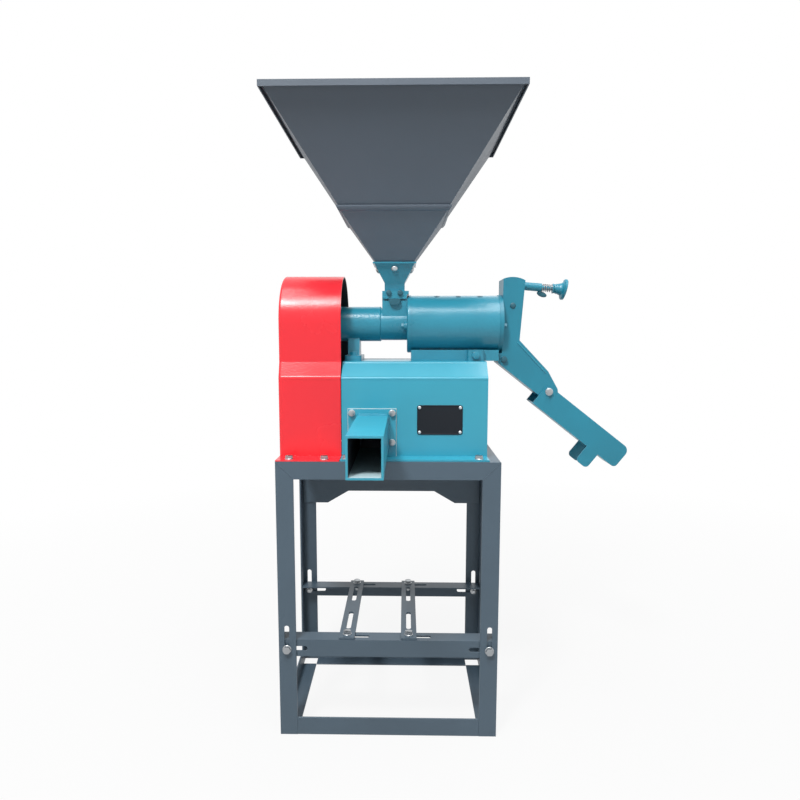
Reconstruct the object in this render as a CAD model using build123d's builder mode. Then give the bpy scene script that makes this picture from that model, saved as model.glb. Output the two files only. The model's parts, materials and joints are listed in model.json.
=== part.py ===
from build123d import *
from math import acos, atan2, cos, radians, sin, tan
import os

os.makedirs("parts", exist_ok=True)

# Frame: millimetres, Z up from the floor, the front faces -Y, the shaft lies along X.
# The origin is on the floor under the middle of the whole machine. STAND_X and STAND_Y
# say where the centre of the stand is; every other figure is measured from that centre.
STAND_X = -127.6
STAND_Y = 69.25

# Stand of welded angle
STAND_W = 400.0
STAND_D = 290.0
STAND_H = 516.5
ANGLE = 32.0
ANGLE_T = 3.0
FOOT_RAIL_H = 34.0
LEG_SLOT_IN = 15.0
LEG_SLOT_LOW = 160.0
LEG_SLOT_HIGH = 212.0
SLOT_W = 9.0
APRON_DOWN = 3.5
APRON_H = 145.0
APRON_ARCH = 27.0
APRON_ARCH_HALF = 95.0
APRON_SLANT = 46.0
APRON_GAP = 1.0
PLATE_T = 3.0

# Motor tray
TRAY_TOP = 184.0
TRAY_BOLT_Z = 167.0
SLIDE_GAP = 0.2
SIDE_GAP = 0.6
STRAP_W = 29.0
STRAP_T = 4.0
STRAP_LEFT_X = -76.0
STRAP_RIGHT_X = 38.0
STRAP_SHORT = 5.0
STRAP_BOLT_IN = 19.0
STRAP_SLOT_Y = 65.0
STRAP_SLOT_L = 75.0
RAIL_SLOT_L = 46.0
TRAY_SLOT_L = 44.0
TRAY_SLOT_IN = 15.0

# Fasteners: shank radius, hexagon radius, head height, washer radius
M8 = (4.0, 7.5, 5.3, 8.0)
M6 = (3.0, 5.8, 4.0, 6.2)
WASHER_T = 1.6
HOLE_GAP = 0.4
DECK_BOLT_IN = 15.0

# Base housing of bent sheet, with the blower in it
BASE_LEFT = -85.0
BASE_RIGHT = 180.0
BASE_HALF = 102.0
BASE_SHOULDER_Z = 662.0
BASE_TOP = 690.5
BASE_TOP_HALF = 74.0
SHEET = 3.0
FLANGE_IN = 5.0
BASE_BOLT_LEFT = 11.0
BASE_BOLT_RIGHT = 18.0
BRAN_LEFT = 58.0
BRAN_RIGHT = 168.0
BRAN_HALF = 26.0

# Discharge duct
DUCT_LEFT = -56.0
DUCT_RIGHT = -0.5
DUCT_LOW = 530.0
DUCT_HIGH = 595.0
DUCT_WALL = 3.5
DUCT_MOUTH = 350.0
DUCT_RIM_LEFT = 17.0
DUCT_RIM_RIGHT = 14.5
DUCT_RIM_LOW = 10.0
DUCT_RIM_HIGH = 11.0
DUCT_PLATE_T = 4.0
DUCT_BOLT_IN = 7.0
DUCT_BOLT_UP = 25.0
DUCT_BOLT_L = 14.0

# Nameplate, left bare
NAME_X = 93.4
NAME_Z = 586.0
NAME_W = 82.7
NAME_H = 54.0
NAME_T = 1.0
NAME_ROUND = 3.0
RIVET_IN = 4.5
RIVET_R = 1.2
RIVET_HEAD_R = 2.4
RIVET_HEAD_H = 1.0

# Main shaft and pulley
AXIS_Z = 760.0
SHAFT_R = 12.5
RUN_FIT = 0.05
PULLEY_R = 75.0
PULLEY_LEFT = -165.0
PULLEY_RIGHT = -121.0
MOTOR_GROOVE_X = -152.0
FAN_GROOVE_X = -134.0
GROOVE_W = 13.6
GROOVE_DEEP = 11.0
GROOVE_ANGLE = 20.0
BELT_W = 13.0
BELT_H = 8.0
PULLEY_RIM = 18.0
PULLEY_WEB = 12.0
PULLEY_HUB_R = 24.5
PULLEY_HOLES = 5
PULLEY_HOLE_R = 9.0
PULLEY_HOLE_AT = 40.5
SHAFT_END_R = 8.0
SHAFT_END_L = 13.0
SHAFT_NUT_R = 14.0
SHAFT_NUT_L = 10.0
PRESS_FIT = 0.02

# Blower
FAN_Y = 22.0
FAN_Z = 605.0
FAN_R = 60.0
SCROLL_R = 75.0
SCROLL_T = 2.5
FAN_LEFT = -56.0
FAN_RIGHT = 0.0
FAN_SHAFT_R = 8.5
FAN_PULLEY_R = 36.0
CARRIER_R = 26.0
CARRIER_LEFT = -112.0
CARRIER_RIGHT = -57.0
CARRIER_BORE = 15.0
CARRIER_FLANGE_R = 42.0
CARRIER_FLANGE_T = 8.0
CARRIER_BOLT_AT = 34.0
FAN_BEARING_R = 20.0
FAN_BEARING_W = 12.0
FAN_INLET_R = 38.0
FAN_NECK_R = 22.0
FAN_COLLAR_R = 11.0
WHEEL_LEFT = -51.0
WHEEL_RIGHT = -12.0
WHEEL_PLATE = 2.0
WHEEL_HUB_R = 16.0
BLADES = 8
BLADE_T = 2.0
BLADE_L = 36.0
FAN_PULLEY_W = 24.0

# Belt guard
GUARD_LEFT = -200.0
GUARD_RIGHT = -86.5
GUARD_R = 90.0
GUARD_HALF = 101.0
GUARD_T = 2.0
GUARD_FLANGE_IN = 1.0
GUARD_EDGE = 5.0
GUARD_BOLT_LEFT = 23.0
GUARD_BOLT_RIGHT = 27.5

# Milling head, from left to right along the shaft
HOUSING_LEFT = -92.0
HOUSING_R = 33.0
HOUSING_BORE = 21.0
PEDESTAL_IN = 24.0
PEDESTAL_T = 22.0
PEDESTAL_FOOT = 30.0
PEDESTAL_NECK = 18.0
FOOT_W = 32.0
FOOT_D = 96.0
FOOT_H = 10.0
FOOT_BOLT_Y = 37.0
BEARING_R = 26.0
BEARING_W = 15.0
CAP_T = 6.0
CHAMBER_LEFT = -18.0
CHAMBER_R = 31.0
CHAMBER_WALL = 2.4
SCREW_R = 24.5
SCREW_CORE_R = 17.0
SCREW_PITCH = 28.0
SCREW_BLADE = 4.0
CHAMBER_BORE = 25.5
DRUM_LEFT = 33.5
DRUM_RIGHT = 206.5
DRUM_R = 54.0
DRUM_WALL = 4.0
DRUM_FLANGE_R = 55.0
DRUM_FLANGE_T = 8.0
DRUM_EDGE = 3.0
DRUM_SPLIT = 38.0
SADDLE_HALF = 40.0
SADDLE_TOP = 711.0
LUG_LEFT = 146.0
LUG_RIGHT = 178.0
LUG_HALF = 53.0
LUG_TOP = 711.5
LUG_ROUND = 6.0
LUG_BOLT_L = 20.0
SADDLE_BOLT_L = 12.0
SADDLE_BOLT_IN = 7.0
EAR_T = 5.0
EAR_H = 16.0
EAR_HALF = 48.0
EAR_DOWN = 4.5
FLANGE_BOLT_Y = 41.0
SCREEN_GAP = 0.2
SCREEN_T = 1.4
SCREEN_DROP = 25.0
SCREEN_SLOT_L = 11.0
SCREEN_SLOT_W = 1.6
ROLLER_LEFT = 44.0
ROLLER_RIGHT = 196.0
ROLLER_R = 38.0
ROLLER_CORE_R = 33.0
ROLLER_RIBS = 6
ROLLER_RIB_W = 9.0
KNIFE_TILT = 18.0
KNIFE_TIP_R = 41.5
KNIFE_W = 8.0
KNIFE_L = 126.0
KNIFE_HEAD_R = 5.0
KNIFE_HEAD_H = 1.6
KNIFE_SINK = 1.0
KNIFE_SCREWS_X = (90.0, 131.0, 172.0)

# Feed neck, gate and hopper
HOPPER_X = 10.0
NECK_HALF = 23.3
NECK_DEEP = 27.0
THROAT_HALF = 17.0
NECK_TOP = 807.0
NECK_FLANGE_TOP = 815.4
GATE_LOW = 803.4
GATE_HIGH = 806.8
GATE_HALF = 19.0
GATE_T = 3.0
GATE_BACK = 23.5
TONGUE_W = 22.0
TONGUE_L = 8.0
TONGUE_H = 11.2
TONGUE_ROUND = 8.0
SEAT_FLANGE_TOP = 821.4
SEAT_FLANGE_W = 50.0
SEAT_FLANGE_X = 1.8
SEAT_FLANGE_OVER = 3.0
SEAT_NECK_TOP = 837.0
SEAT_TOP = 874.0
SEAT_NECK_HALF = 19.0
SEAT_TOP_HALF = 39.0
SEAT_WALL = 3.0
SEAT_LIP = 1.5
SEAT_LIP_H = 3.0
HOPPER_WALL = 1.8
SPOUT_Z = 850.0
LAP_LOW = 954.0
LAP_HIGH = 964.5
LAP_HALF = 99.75
LAP_GAP = 0.1
LAP_HEM = 1.2
LAP_HEM_H = 8.0
HOPPER_TOP = 1132.0
HOPPER_TOP_HALF = 207.8
RIM_HALF = 211.5
RIM_LOW = 1124.0
RIM_HIGH = 1134.0
SEAT_BOLT_Z = 862.0
SEAT_BOLT_WASHER = 1.2
SEAT_BOLT_HEAD_R = 5.0
SEAT_BOLT_HEAD_H = 3.2
SEAT_BOLT_L = 9.0

# Outlet: end plate, housing with upper chute, flap and adjuster
END_PLATE_T = 7.5
END_PLATE_R = 55.0
END_SPIGOT_L = 4.0
END_SPIGOT_WALL = 8.0
OUTLET_HOLE_R = 25.0
OUTLET_HALF = 30.0
OUTLET_T = 2.0
OUTLET_TOP_LEFT = 843.8
OUTLET_TOP_MID = (232.6, 846.9)
OUTLET_TOP_RIGHT = (255.1, 840.8)
OUTLET_WALL_FOOT = (246.7, 728.9)
OUTLET_LIP = (302.2, 670.4)
TAIL_GAP = 0.3
FLAP_PIN = (232.6, 793.8)
FLAP_PIN_R = 4.0
FLAP_PIN_HEAD_R = 5.5
FLAP_PIN_HEAD_H = 2.5
FLAP_GAP = 0.5
FLAP_T = 4.0
FLAP_H = 58.0
FLAP_DOWN = 67.0
FLAP_SIDE_GAP = 1.0
FLAP_ARM_HALF = 12.0
FLAP_HUB_R = 7.0
FLAP_HUB_HALF = 20.0
LEVER_T = 6.0
LEVER_W = 10.0
TIE_BOLT = (218.0, 692.8)
ROD_ROOT = (254.6, 832.3)
ROD_TILT = 5.0
ROD_R = 4.0
LINK_PIN_R = 3.0
LINK_PIN_HALF = 9.0
LINK_GAP = 0.3
LINK_RISE = 0.8
LEVER_OVER = 8.5
FORK_T = 4.0
FORK_H = 9.0
FORK_IN = 0.6
FORK_BACK = 5.5
FORK_FRONT = 7.0
FORK_BRIDGE = 4.0
TUBE_R = 7.8
TUBE_BORE = 4.6
TUBE_END = 36.5
SPRING_END = 57.0
SPRING_R = 6.6
SPRING_WIRE = 0.9
SPRING_TURNS = 5.0
CUP_T = 2.2
CUP_R = 9.5
KNOB_HUB_R = 10.0
KNOB_R = 19.5
KNOB_HUB_L = 9.0
KNOB_FLARE_L = 5.0
KNOB_DISC_L = 10.0
KNOB_EDGE = 2.0
ROD_SHORT = 4.0
SPRING_GAP = 0.3

# Lower chute
CHUTE_PIVOT = (304.4, 631.6)
CHUTE_ANGLE = 38.0
CHUTE_END_R = 17.3
CHUTE_BACK = 11.0
CHUTE_REACH = 192.5
CHUTE_ABOVE = 9.5
CHUTE_BELOW = 36.0
CHUTE_NOSE_R = 13.0
CHUTE_TOE_R = 8.0
CHUTE_HEEL_R = 9.0
CHUTE_T = 2.0
CHUTE_GAP = 0.3
HOOK_FROM = 124.0
HOOK_TO = 151.0
HOOK_L = 34.3
HOOK_ROUND = 8.0

# Datum planes through the centre of the stand
CENTRE = (STAND_X, STAND_Y, 0)
PLAN = Plane(origin=CENTRE)
FRONT = Plane(origin=CENTRE, x_dir=(1, 0, 0), z_dir=(0, -1, 0))
SIDE = Plane(origin=CENTRE, x_dir=(0, 1, 0), z_dir=(1, 0, 0))
LOW = (Align.MIN, Align.MIN)
FOOT = (Align.CENTER, Align.MIN)


def spot(x, y, z, facing=(0, 0, 1)):
    """Plane at a place measured from the stand's centre, facing a given way."""
    return Plane(origin=(STAND_X + x, STAND_Y + y, z), z_dir=facing)


ROD_WAY = (cos(radians(ROD_TILT)), 0, -sin(radians(ROD_TILT)))
ROD = Plane(
    origin=(STAND_X + ROD_ROOT[0], STAND_Y, ROD_ROOT[1]),
    x_dir=(0, 1, 0),
    z_dir=ROD_WAY,
)
ROD_SECTION = Plane(origin=ROD.origin, x_dir=ROD_WAY, z_dir=(0, -1, 0))
CHUTE_WAY = (cos(radians(CHUTE_ANGLE)), 0, -sin(radians(CHUTE_ANGLE)))
CHUTE = Plane(
    origin=(STAND_X + CHUTE_PIVOT[0], STAND_Y, CHUTE_PIVOT[1]),
    x_dir=CHUTE_WAY,
    z_dir=(0, -1, 0),
)
HOPPER = Plane(origin=(STAND_X + HOPPER_X, STAND_Y, 0))
KNIFE_WAY = (0, -sin(radians(KNIFE_TILT)), cos(radians(KNIFE_TILT)))


def angle_section(low, high, thick):
    """Draws an angle section with its outer corner at low and its legs towards high."""
    across = high[0] - low[0]
    up = high[1] - low[1]
    with Locations(((low[0] + high[0]) / 2, low[1] + (thick if up > 0 else -thick) / 2)):
        Rectangle(abs(across), thick)
    with Locations((low[0] + (thick if across > 0 else -thick) / 2, (low[1] + high[1]) / 2)):
        Rectangle(thick, abs(up))


def disc(plane, radius, length, bore=0.0, mode=Mode.ADD):
    """Adds a round bar or ring that starts on a plane."""
    with BuildSketch(plane) as ring:
        Circle(radius)
        if bore:
            Circle(bore, mode=Mode.SUBTRACT)
    extrude(ring.sketch, amount=length, mode=mode)


def fasten(seat, size, grip, nut=True):
    """Adds a tightened hexagon bolt: washer and head on the seat, shank and nut under it."""
    shank, hexagon, head, washer = size
    disc(seat, washer, WASHER_T)
    with BuildSketch(seat.offset(WASHER_T)) as cap:
        RegularPolygon(hexagon, 6)
    extrude(cap.sketch, amount=head)
    disc(seat, shank, -(grip + (head + shank if nut else 0)))
    if nut:
        with BuildSketch(seat.offset(-grip)) as hexagonal:
            RegularPolygon(hexagon, 6)
        extrude(hexagonal.sketch, amount=-head)


def square_funnel(levels, wall):
    """Adds a square funnel through (height, half width) levels, open at both ends."""
    for inset, mode in ((0.0, Mode.ADD), (wall, Mode.SUBTRACT)):
        for (low_z, low_half), (high_z, high_half) in zip(levels, levels[1:]):
            with BuildSketch(HOPPER.offset(low_z)) as low:
                Rectangle(2 * (low_half - inset), 2 * (low_half - inset))
            with BuildSketch(HOPPER.offset(high_z)) as high:
                Rectangle(2 * (high_half - inset), 2 * (high_half - inset))
            loft([low.sketch, high.sketch], mode=mode)


def groove(x, radius):
    """Cuts one belt groove, in the half section of a pulley drawn along X and radius."""
    top = GROOVE_W / 2
    foot = top - GROOVE_DEEP * tan(radians(GROOVE_ANGLE))
    with BuildLine() as outline:
        Polyline(
            (x - top, radius),
            (x - foot, radius - GROOVE_DEEP),
            (x + foot, radius - GROOVE_DEEP),
            (x + top, radius),
            close=True,
        )
    make_face(outline.edges(), mode=Mode.SUBTRACT)


# Stand
leg_slot_x = STAND_W / 2 - LEG_SLOT_IN
deck_bolt_y = STAND_D / 2 - DECK_BOLT_IN
base_bolts_x = (BASE_LEFT + BASE_BOLT_LEFT, BASE_RIGHT - BASE_BOLT_RIGHT)
guard_bolts_x = (GUARD_LEFT + GUARD_BOLT_LEFT, GUARD_RIGHT - GUARD_BOLT_RIGHT)
corner = spot(-STAND_W / 2, -STAND_D / 2, STAND_H).origin
leg_to_front = Plane(origin=corner, z_dir=(1, 0, 1))
leg_to_side = Plane(origin=corner, z_dir=(0, 1, 1))
front_to_side = Plane(origin=corner, z_dir=(1, -1, 0))

with BuildPart() as stand_legs:
    with BuildSketch(PLAN):
        angle_section(
            (-STAND_W / 2, -STAND_D / 2),
            (-STAND_W / 2 + ANGLE, -STAND_D / 2 + ANGLE),
            ANGLE_T,
        )
    extrude(amount=STAND_H)
    split(bisect_by=leg_to_front, keep=Keep.BOTTOM)
    split(bisect_by=leg_to_side, keep=Keep.BOTTOM)
    with BuildSketch(FRONT.offset(STAND_D / 2)):
        with Locations((-leg_slot_x, (LEG_SLOT_LOW + LEG_SLOT_HIGH) / 2)):
            SlotOverall(LEG_SLOT_HIGH - LEG_SLOT_LOW, SLOT_W, rotation=90)
    extrude(amount=-ANGLE_T, mode=Mode.SUBTRACT)
    mirror(about=SIDE)
    mirror(about=FRONT)

with BuildPart() as top_rails_long:
    with BuildSketch(SIDE):
        angle_section(
            (-STAND_D / 2, STAND_H),
            (-STAND_D / 2 + ANGLE, STAND_H - ANGLE),
            ANGLE_T,
        )
    extrude(amount=-STAND_W / 2)
    split(bisect_by=leg_to_front, keep=Keep.TOP)
    split(bisect_by=front_to_side, keep=Keep.TOP)
    mirror(about=SIDE)
    with BuildSketch(PLAN.offset(STAND_H)):
        with Locations(*[(x, -deck_bolt_y) for x in base_bolts_x + guard_bolts_x]):
            Circle(M8[0] + HOLE_GAP)
    extrude(amount=-ANGLE_T, mode=Mode.SUBTRACT)
    mirror(about=FRONT)

with BuildPart() as top_rails_short:
    with BuildSketch(FRONT):
        angle_section(
            (-STAND_W / 2, STAND_H),
            (-STAND_W / 2 + ANGLE, STAND_H - ANGLE),
            ANGLE_T,
        )
    extrude(amount=STAND_D / 2)
    split(bisect_by=leg_to_side, keep=Keep.TOP)
    split(bisect_by=front_to_side, keep=Keep.BOTTOM)
    mirror(about=FRONT)
    mirror(about=SIDE)

with BuildPart() as foot_rails_long:
    with BuildSketch(SIDE):
        angle_section((-STAND_D / 2, 0), (-STAND_D / 2 + ANGLE, FOOT_RAIL_H), ANGLE_T)
    extrude(amount=STAND_W / 2 - ANGLE, both=True)
    mirror(about=FRONT)

with BuildPart() as foot_rails_short:
    with BuildSketch(FRONT):
        angle_section((-STAND_W / 2, 0), (-STAND_W / 2 + ANGLE, FOOT_RAIL_H), ANGLE_T)
    extrude(amount=STAND_D / 2 - ANGLE, both=True)
    mirror(about=SIDE)

apron_half = STAND_W / 2 - ANGLE_T - APRON_GAP
apron_top = STAND_H - APRON_DOWN
apron_low = apron_top - APRON_H
apron_high = apron_low + APRON_ARCH
apron_slant = APRON_ARCH_HALF + APRON_SLANT
with BuildPart() as rear_apron:
    with BuildSketch(FRONT.offset(-(STAND_D / 2 - ANGLE_T))):
        with BuildLine():
            Polyline(
                (-apron_half, apron_top),
                (apron_half, apron_top),
                (apron_half, apron_low),
                (apron_slant, apron_low),
                (APRON_ARCH_HALF, apron_high),
                (-APRON_ARCH_HALF, apron_high),
                (-apron_slant, apron_low),
                (-apron_half, apron_low),
                close=True,
            )
        make_face()
    extrude(amount=PLATE_T)

# Motor tray, shown at the bottom of the leg slots
tray_front = STAND_D / 2 - ANGLE_T - SLIDE_GAP
tray_half = STAND_W / 2 - ANGLE_T - SIDE_GAP
tray_slot_x = leg_slot_x - TRAY_SLOT_IN
strap_bolt_y = STAND_D / 2 - STRAP_BOLT_IN
strap_half = STAND_D / 2 - STRAP_SHORT
rail_slot_shift = (RAIL_SLOT_L - SLOT_W) / 2

with BuildPart() as tray_rails:
    with BuildSketch(SIDE):
        angle_section(
            (-tray_front, TRAY_TOP), (-tray_front + ANGLE, TRAY_TOP - ANGLE), ANGLE_T
        )
    extrude(amount=tray_half, both=True)
    with BuildSketch(FRONT.offset(tray_front)):
        with Locations((-tray_slot_x, TRAY_BOLT_Z), (tray_slot_x, TRAY_BOLT_Z)):
            SlotOverall(TRAY_SLOT_L, SLOT_W)
    extrude(amount=-ANGLE_T, mode=Mode.SUBTRACT)
    with BuildSketch(PLAN.offset(TRAY_TOP)):
        with Locations(
            (STRAP_LEFT_X + rail_slot_shift, -strap_bolt_y),
            (STRAP_RIGHT_X + rail_slot_shift, -strap_bolt_y),
        ):
            SlotOverall(RAIL_SLOT_L, SLOT_W)
    extrude(amount=-ANGLE_T, mode=Mode.SUBTRACT)
    mirror(about=FRONT)

with BuildPart() as tray_fasteners:
    for side in (-1, 1):
        for end in (-1, 1):
            fasten(
                spot(side * leg_slot_x, end * (STAND_D / 2 + SLIDE_GAP), TRAY_BOLT_Z, (0, end, 0)),
                M8,
                2 * ANGLE_T + 2 * SLIDE_GAP,
            )

strap_low = TRAY_TOP + SLIDE_GAP
for strap_x, strap_name in ((STRAP_LEFT_X, "strap_left"), (STRAP_RIGHT_X, "strap_right")):
    with BuildPart() as strap:
        with BuildSketch(PLAN.offset(strap_low)):
            with Locations((strap_x, 0)):
                Rectangle(STRAP_W, 2 * strap_half)
            with Locations((strap_x, -STRAP_SLOT_Y), (strap_x, STRAP_SLOT_Y)):
                SlotOverall(STRAP_SLOT_L, SLOT_W, rotation=90, mode=Mode.SUBTRACT)
            with Locations((strap_x, -strap_bolt_y), (strap_x, strap_bolt_y)):
                Circle(M8[0] + HOLE_GAP, mode=Mode.SUBTRACT)
        extrude(amount=STRAP_T)
    strap.part.label = strap_name
    export_step(strap.part, f"parts/{strap_name}.step")

    with BuildPart() as strap_bolts:
        for end in (-1, 1):
            fasten(
                spot(strap_x, end * strap_bolt_y, strap_low + STRAP_T),
                M8,
                STRAP_T + ANGLE_T + 2 * SLIDE_GAP,
            )
    strap_bolts.part.label = strap_name.replace("strap", "strap_bolts")
    export_step(strap_bolts.part, f"parts/{strap_bolts.part.label}.step")

# Base housing
duct_mid_x = (DUCT_LEFT + DUCT_RIGHT) / 2
duct_mid_z = (DUCT_LOW + DUCT_HIGH) / 2
duct_w = DUCT_RIGHT - DUCT_LEFT
duct_h = DUCT_HIGH - DUCT_LOW
duct_plate_left = DUCT_LEFT - DUCT_RIM_LEFT
duct_plate_right = DUCT_RIGHT + DUCT_RIM_RIGHT
duct_plate_low = DUCT_LOW - DUCT_RIM_LOW
duct_plate_high = DUCT_HIGH + DUCT_RIM_HIGH
duct_bolts_x = (duct_plate_left + DUCT_BOLT_IN, duct_plate_right - DUCT_BOLT_IN)
duct_bolts_z = (duct_plate_low + DUCT_BOLT_UP, duct_plate_high - DUCT_BOLT_IN)
duct_bolt_spots = [(x, z) for x in duct_bolts_x for z in duct_bolts_z]
flange_half = STAND_D / 2 - FLANGE_IN
pedestal_x = HOUSING_LEFT + PEDESTAL_IN
lug_x = (LUG_LEFT + LUG_RIGHT) / 2
lug_z = (BASE_TOP + LUG_TOP) / 2
saddle_bolt_x = LUG_LEFT + SADDLE_BOLT_IN
saddle_bolt_y = (LUG_HALF + SADDLE_HALF) / 2

with BuildPart() as base_housing:
    with BuildSketch(SIDE.offset(BASE_LEFT)):
        with BuildLine():
            Polyline(
                (-BASE_HALF, STAND_H),
                (-BASE_HALF, BASE_SHOULDER_Z),
                (-BASE_TOP_HALF, BASE_TOP),
                (BASE_TOP_HALF, BASE_TOP),
                (BASE_HALF, BASE_SHOULDER_Z),
                (BASE_HALF, STAND_H),
                close=True,
            )
        make_face()
    extrude(amount=BASE_RIGHT - BASE_LEFT)
    with BuildSketch(SIDE.offset(BASE_LEFT + SHEET)):
        with BuildLine():
            Polyline(
                (-BASE_HALF + SHEET, STAND_H),
                (-BASE_HALF + SHEET, BASE_SHOULDER_Z - 0.4 * SHEET),
                (-BASE_TOP_HALF + 0.4 * SHEET, BASE_TOP - SHEET),
                (BASE_TOP_HALF - 0.4 * SHEET, BASE_TOP - SHEET),
                (BASE_HALF - SHEET, BASE_SHOULDER_Z - 0.4 * SHEET),
                (BASE_HALF - SHEET, STAND_H),
                close=True,
            )
        make_face()
    extrude(amount=BASE_RIGHT - BASE_LEFT - 2 * SHEET, mode=Mode.SUBTRACT)
    with BuildSketch(PLAN.offset(STAND_H)):
        for end in (-1, 1):
            with Locations(
                ((BASE_LEFT + BASE_RIGHT) / 2, end * (BASE_HALF + flange_half) / 2)
            ):
                Rectangle(BASE_RIGHT - BASE_LEFT, flange_half - BASE_HALF)
            with Locations(*[(x, end * deck_bolt_y) for x in base_bolts_x]):
                Circle(M8[0] + HOLE_GAP, mode=Mode.SUBTRACT)
    extrude(amount=SHEET)
    with BuildSketch(FRONT.offset(BASE_HALF)):
        with Locations((duct_mid_x, duct_mid_z)):
            Rectangle(duct_w - 2 * DUCT_WALL, duct_h - 2 * DUCT_WALL)
        with Locations(*duct_bolt_spots):
            Circle(M6[0] + HOLE_GAP)
    extrude(amount=-SHEET, mode=Mode.SUBTRACT)
    with BuildSketch(SIDE.offset(BASE_LEFT)):
        with Locations((FAN_Y, FAN_Z)):
            Circle(CARRIER_R + HOLE_GAP)
            with PolarLocations(CARRIER_BOLT_AT, 4, start_angle=45):
                Circle(M6[0] + HOLE_GAP)
    extrude(amount=SHEET, mode=Mode.SUBTRACT)
    with BuildSketch(PLAN.offset(BASE_TOP)):
        with Locations(((BRAN_LEFT + BRAN_RIGHT) / 2, 0)):
            Rectangle(BRAN_RIGHT - BRAN_LEFT, 2 * BRAN_HALF)
        with Locations((pedestal_x, -FOOT_BOLT_Y), (pedestal_x, FOOT_BOLT_Y)):
            Circle(M8[0] + HOLE_GAP)
        with Locations((saddle_bolt_x, -saddle_bolt_y), (saddle_bolt_x, saddle_bolt_y)):
            Circle(M6[0] + HOLE_GAP)
    extrude(amount=-SHEET, mode=Mode.SUBTRACT)

with BuildPart() as deck_fasteners:
    for end in (-1, 1):
        for x in base_bolts_x:
            fasten(spot(x, end * deck_bolt_y, STAND_H + SHEET), M8, SHEET + ANGLE_T)
        for x in guard_bolts_x:
            fasten(spot(x, end * deck_bolt_y, STAND_H + GUARD_T), M8, GUARD_T + ANGLE_T)

with BuildPart() as discharge_duct:
    with BuildSketch(FRONT.offset(BASE_HALF)):
        with Locations((duct_plate_left, duct_plate_low)):
            Rectangle(duct_plate_right - duct_plate_left, duct_plate_high - duct_plate_low, align=LOW)
    extrude(amount=DUCT_PLATE_T)
    with BuildSketch(FRONT.offset(BASE_HALF)):
        with Locations((duct_mid_x, duct_mid_z)):
            Rectangle(duct_w, duct_h)
    extrude(amount=DUCT_MOUTH - BASE_HALF)
    with BuildSketch(FRONT.offset(BASE_HALF)):
        with Locations((duct_mid_x, duct_mid_z)):
            Rectangle(duct_w - 2 * DUCT_WALL, duct_h - 2 * DUCT_WALL)
    extrude(amount=DUCT_MOUTH - BASE_HALF, mode=Mode.SUBTRACT)
    with BuildSketch(FRONT.offset(BASE_HALF)):
        with Locations(*duct_bolt_spots):
            Circle(M6[0] + HOLE_GAP)
    extrude(amount=DUCT_PLATE_T, mode=Mode.SUBTRACT)

with BuildPart() as duct_bolts:
    for x, z in duct_bolt_spots:
        fasten(spot(x, -BASE_HALF - DUCT_PLATE_T, z, (0, -1, 0)), M6, DUCT_BOLT_L, nut=False)

with BuildPart() as nameplate:
    with BuildSketch(FRONT.offset(BASE_HALF)):
        with Locations((NAME_X, NAME_Z)):
            RectangleRounded(NAME_W, NAME_H, NAME_ROUND)
            with GridLocations(NAME_W - 2 * RIVET_IN, NAME_H - 2 * RIVET_IN, 2, 2):
                Circle(RIVET_R + SLIDE_GAP, mode=Mode.SUBTRACT)
    extrude(amount=NAME_T)

with BuildPart() as nameplate_rivets:
    with BuildSketch(FRONT.offset(BASE_HALF)):
        with Locations((NAME_X, NAME_Z)):
            with GridLocations(NAME_W - 2 * RIVET_IN, NAME_H - 2 * RIVET_IN, 2, 2):
                Circle(RIVET_R)
    extrude(amount=NAME_T)
    with BuildSketch(FRONT.offset(BASE_HALF + NAME_T)):
        with Locations((NAME_X, NAME_Z)):
            with GridLocations(NAME_W - 2 * RIVET_IN, NAME_H - 2 * RIVET_IN, 2, 2):
                Circle(RIVET_HEAD_R)
    extrude(amount=RIVET_HEAD_H)

# Blower
fan_axis = spot(0, FAN_Y, FAN_Z, (1, 0, 0))
with BuildPart() as fan_casing:
    with BuildSketch(SIDE.offset(FAN_LEFT)):
        with Locations((FAN_Y, FAN_Z)):
            Circle(SCROLL_R)
        with Locations((-BASE_HALF + SHEET, DUCT_LOW)):
            Rectangle(BASE_HALF - SHEET + FAN_Y, duct_h, align=LOW)
    extrude(amount=FAN_RIGHT - FAN_LEFT)
    with BuildSketch(SIDE.offset(FAN_LEFT + SCROLL_T)):
        with Locations((FAN_Y, FAN_Z)):
            Circle(SCROLL_R - SCROLL_T)
        with Locations((-BASE_HALF + SHEET, DUCT_LOW + DUCT_WALL)):
            Rectangle(BASE_HALF - SHEET + FAN_Y, duct_h - 2 * DUCT_WALL, align=LOW)
    extrude(amount=FAN_RIGHT - FAN_LEFT - 2 * SCROLL_T, mode=Mode.SUBTRACT)
    disc(fan_axis.offset(FAN_RIGHT), FAN_INLET_R, -SCROLL_T, mode=Mode.SUBTRACT)
    disc(fan_axis.offset(FAN_LEFT), FAN_NECK_R, SCROLL_T, mode=Mode.SUBTRACT)

with BuildPart() as fan_carrier:
    disc(fan_axis.offset(CARRIER_LEFT), CARRIER_R, CARRIER_RIGHT - CARRIER_LEFT)
    disc(fan_axis.offset(BASE_LEFT + SHEET), CARRIER_FLANGE_R, CARRIER_FLANGE_T)
    disc(fan_axis.offset(CARRIER_LEFT), CARRIER_BORE, CARRIER_RIGHT - CARRIER_LEFT, mode=Mode.SUBTRACT)
    disc(fan_axis.offset(CARRIER_LEFT), FAN_BEARING_R, FAN_BEARING_W, mode=Mode.SUBTRACT)
    disc(fan_axis.offset(CARRIER_RIGHT), FAN_BEARING_R, -FAN_BEARING_W, mode=Mode.SUBTRACT)
    with BuildSketch(SIDE.offset(BASE_LEFT + SHEET)):
        with Locations((FAN_Y, FAN_Z)):
            with PolarLocations(CARRIER_BOLT_AT, 4, start_angle=45):
                Circle(M6[0] + HOLE_GAP)
    extrude(amount=CARRIER_FLANGE_T, mode=Mode.SUBTRACT)

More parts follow.
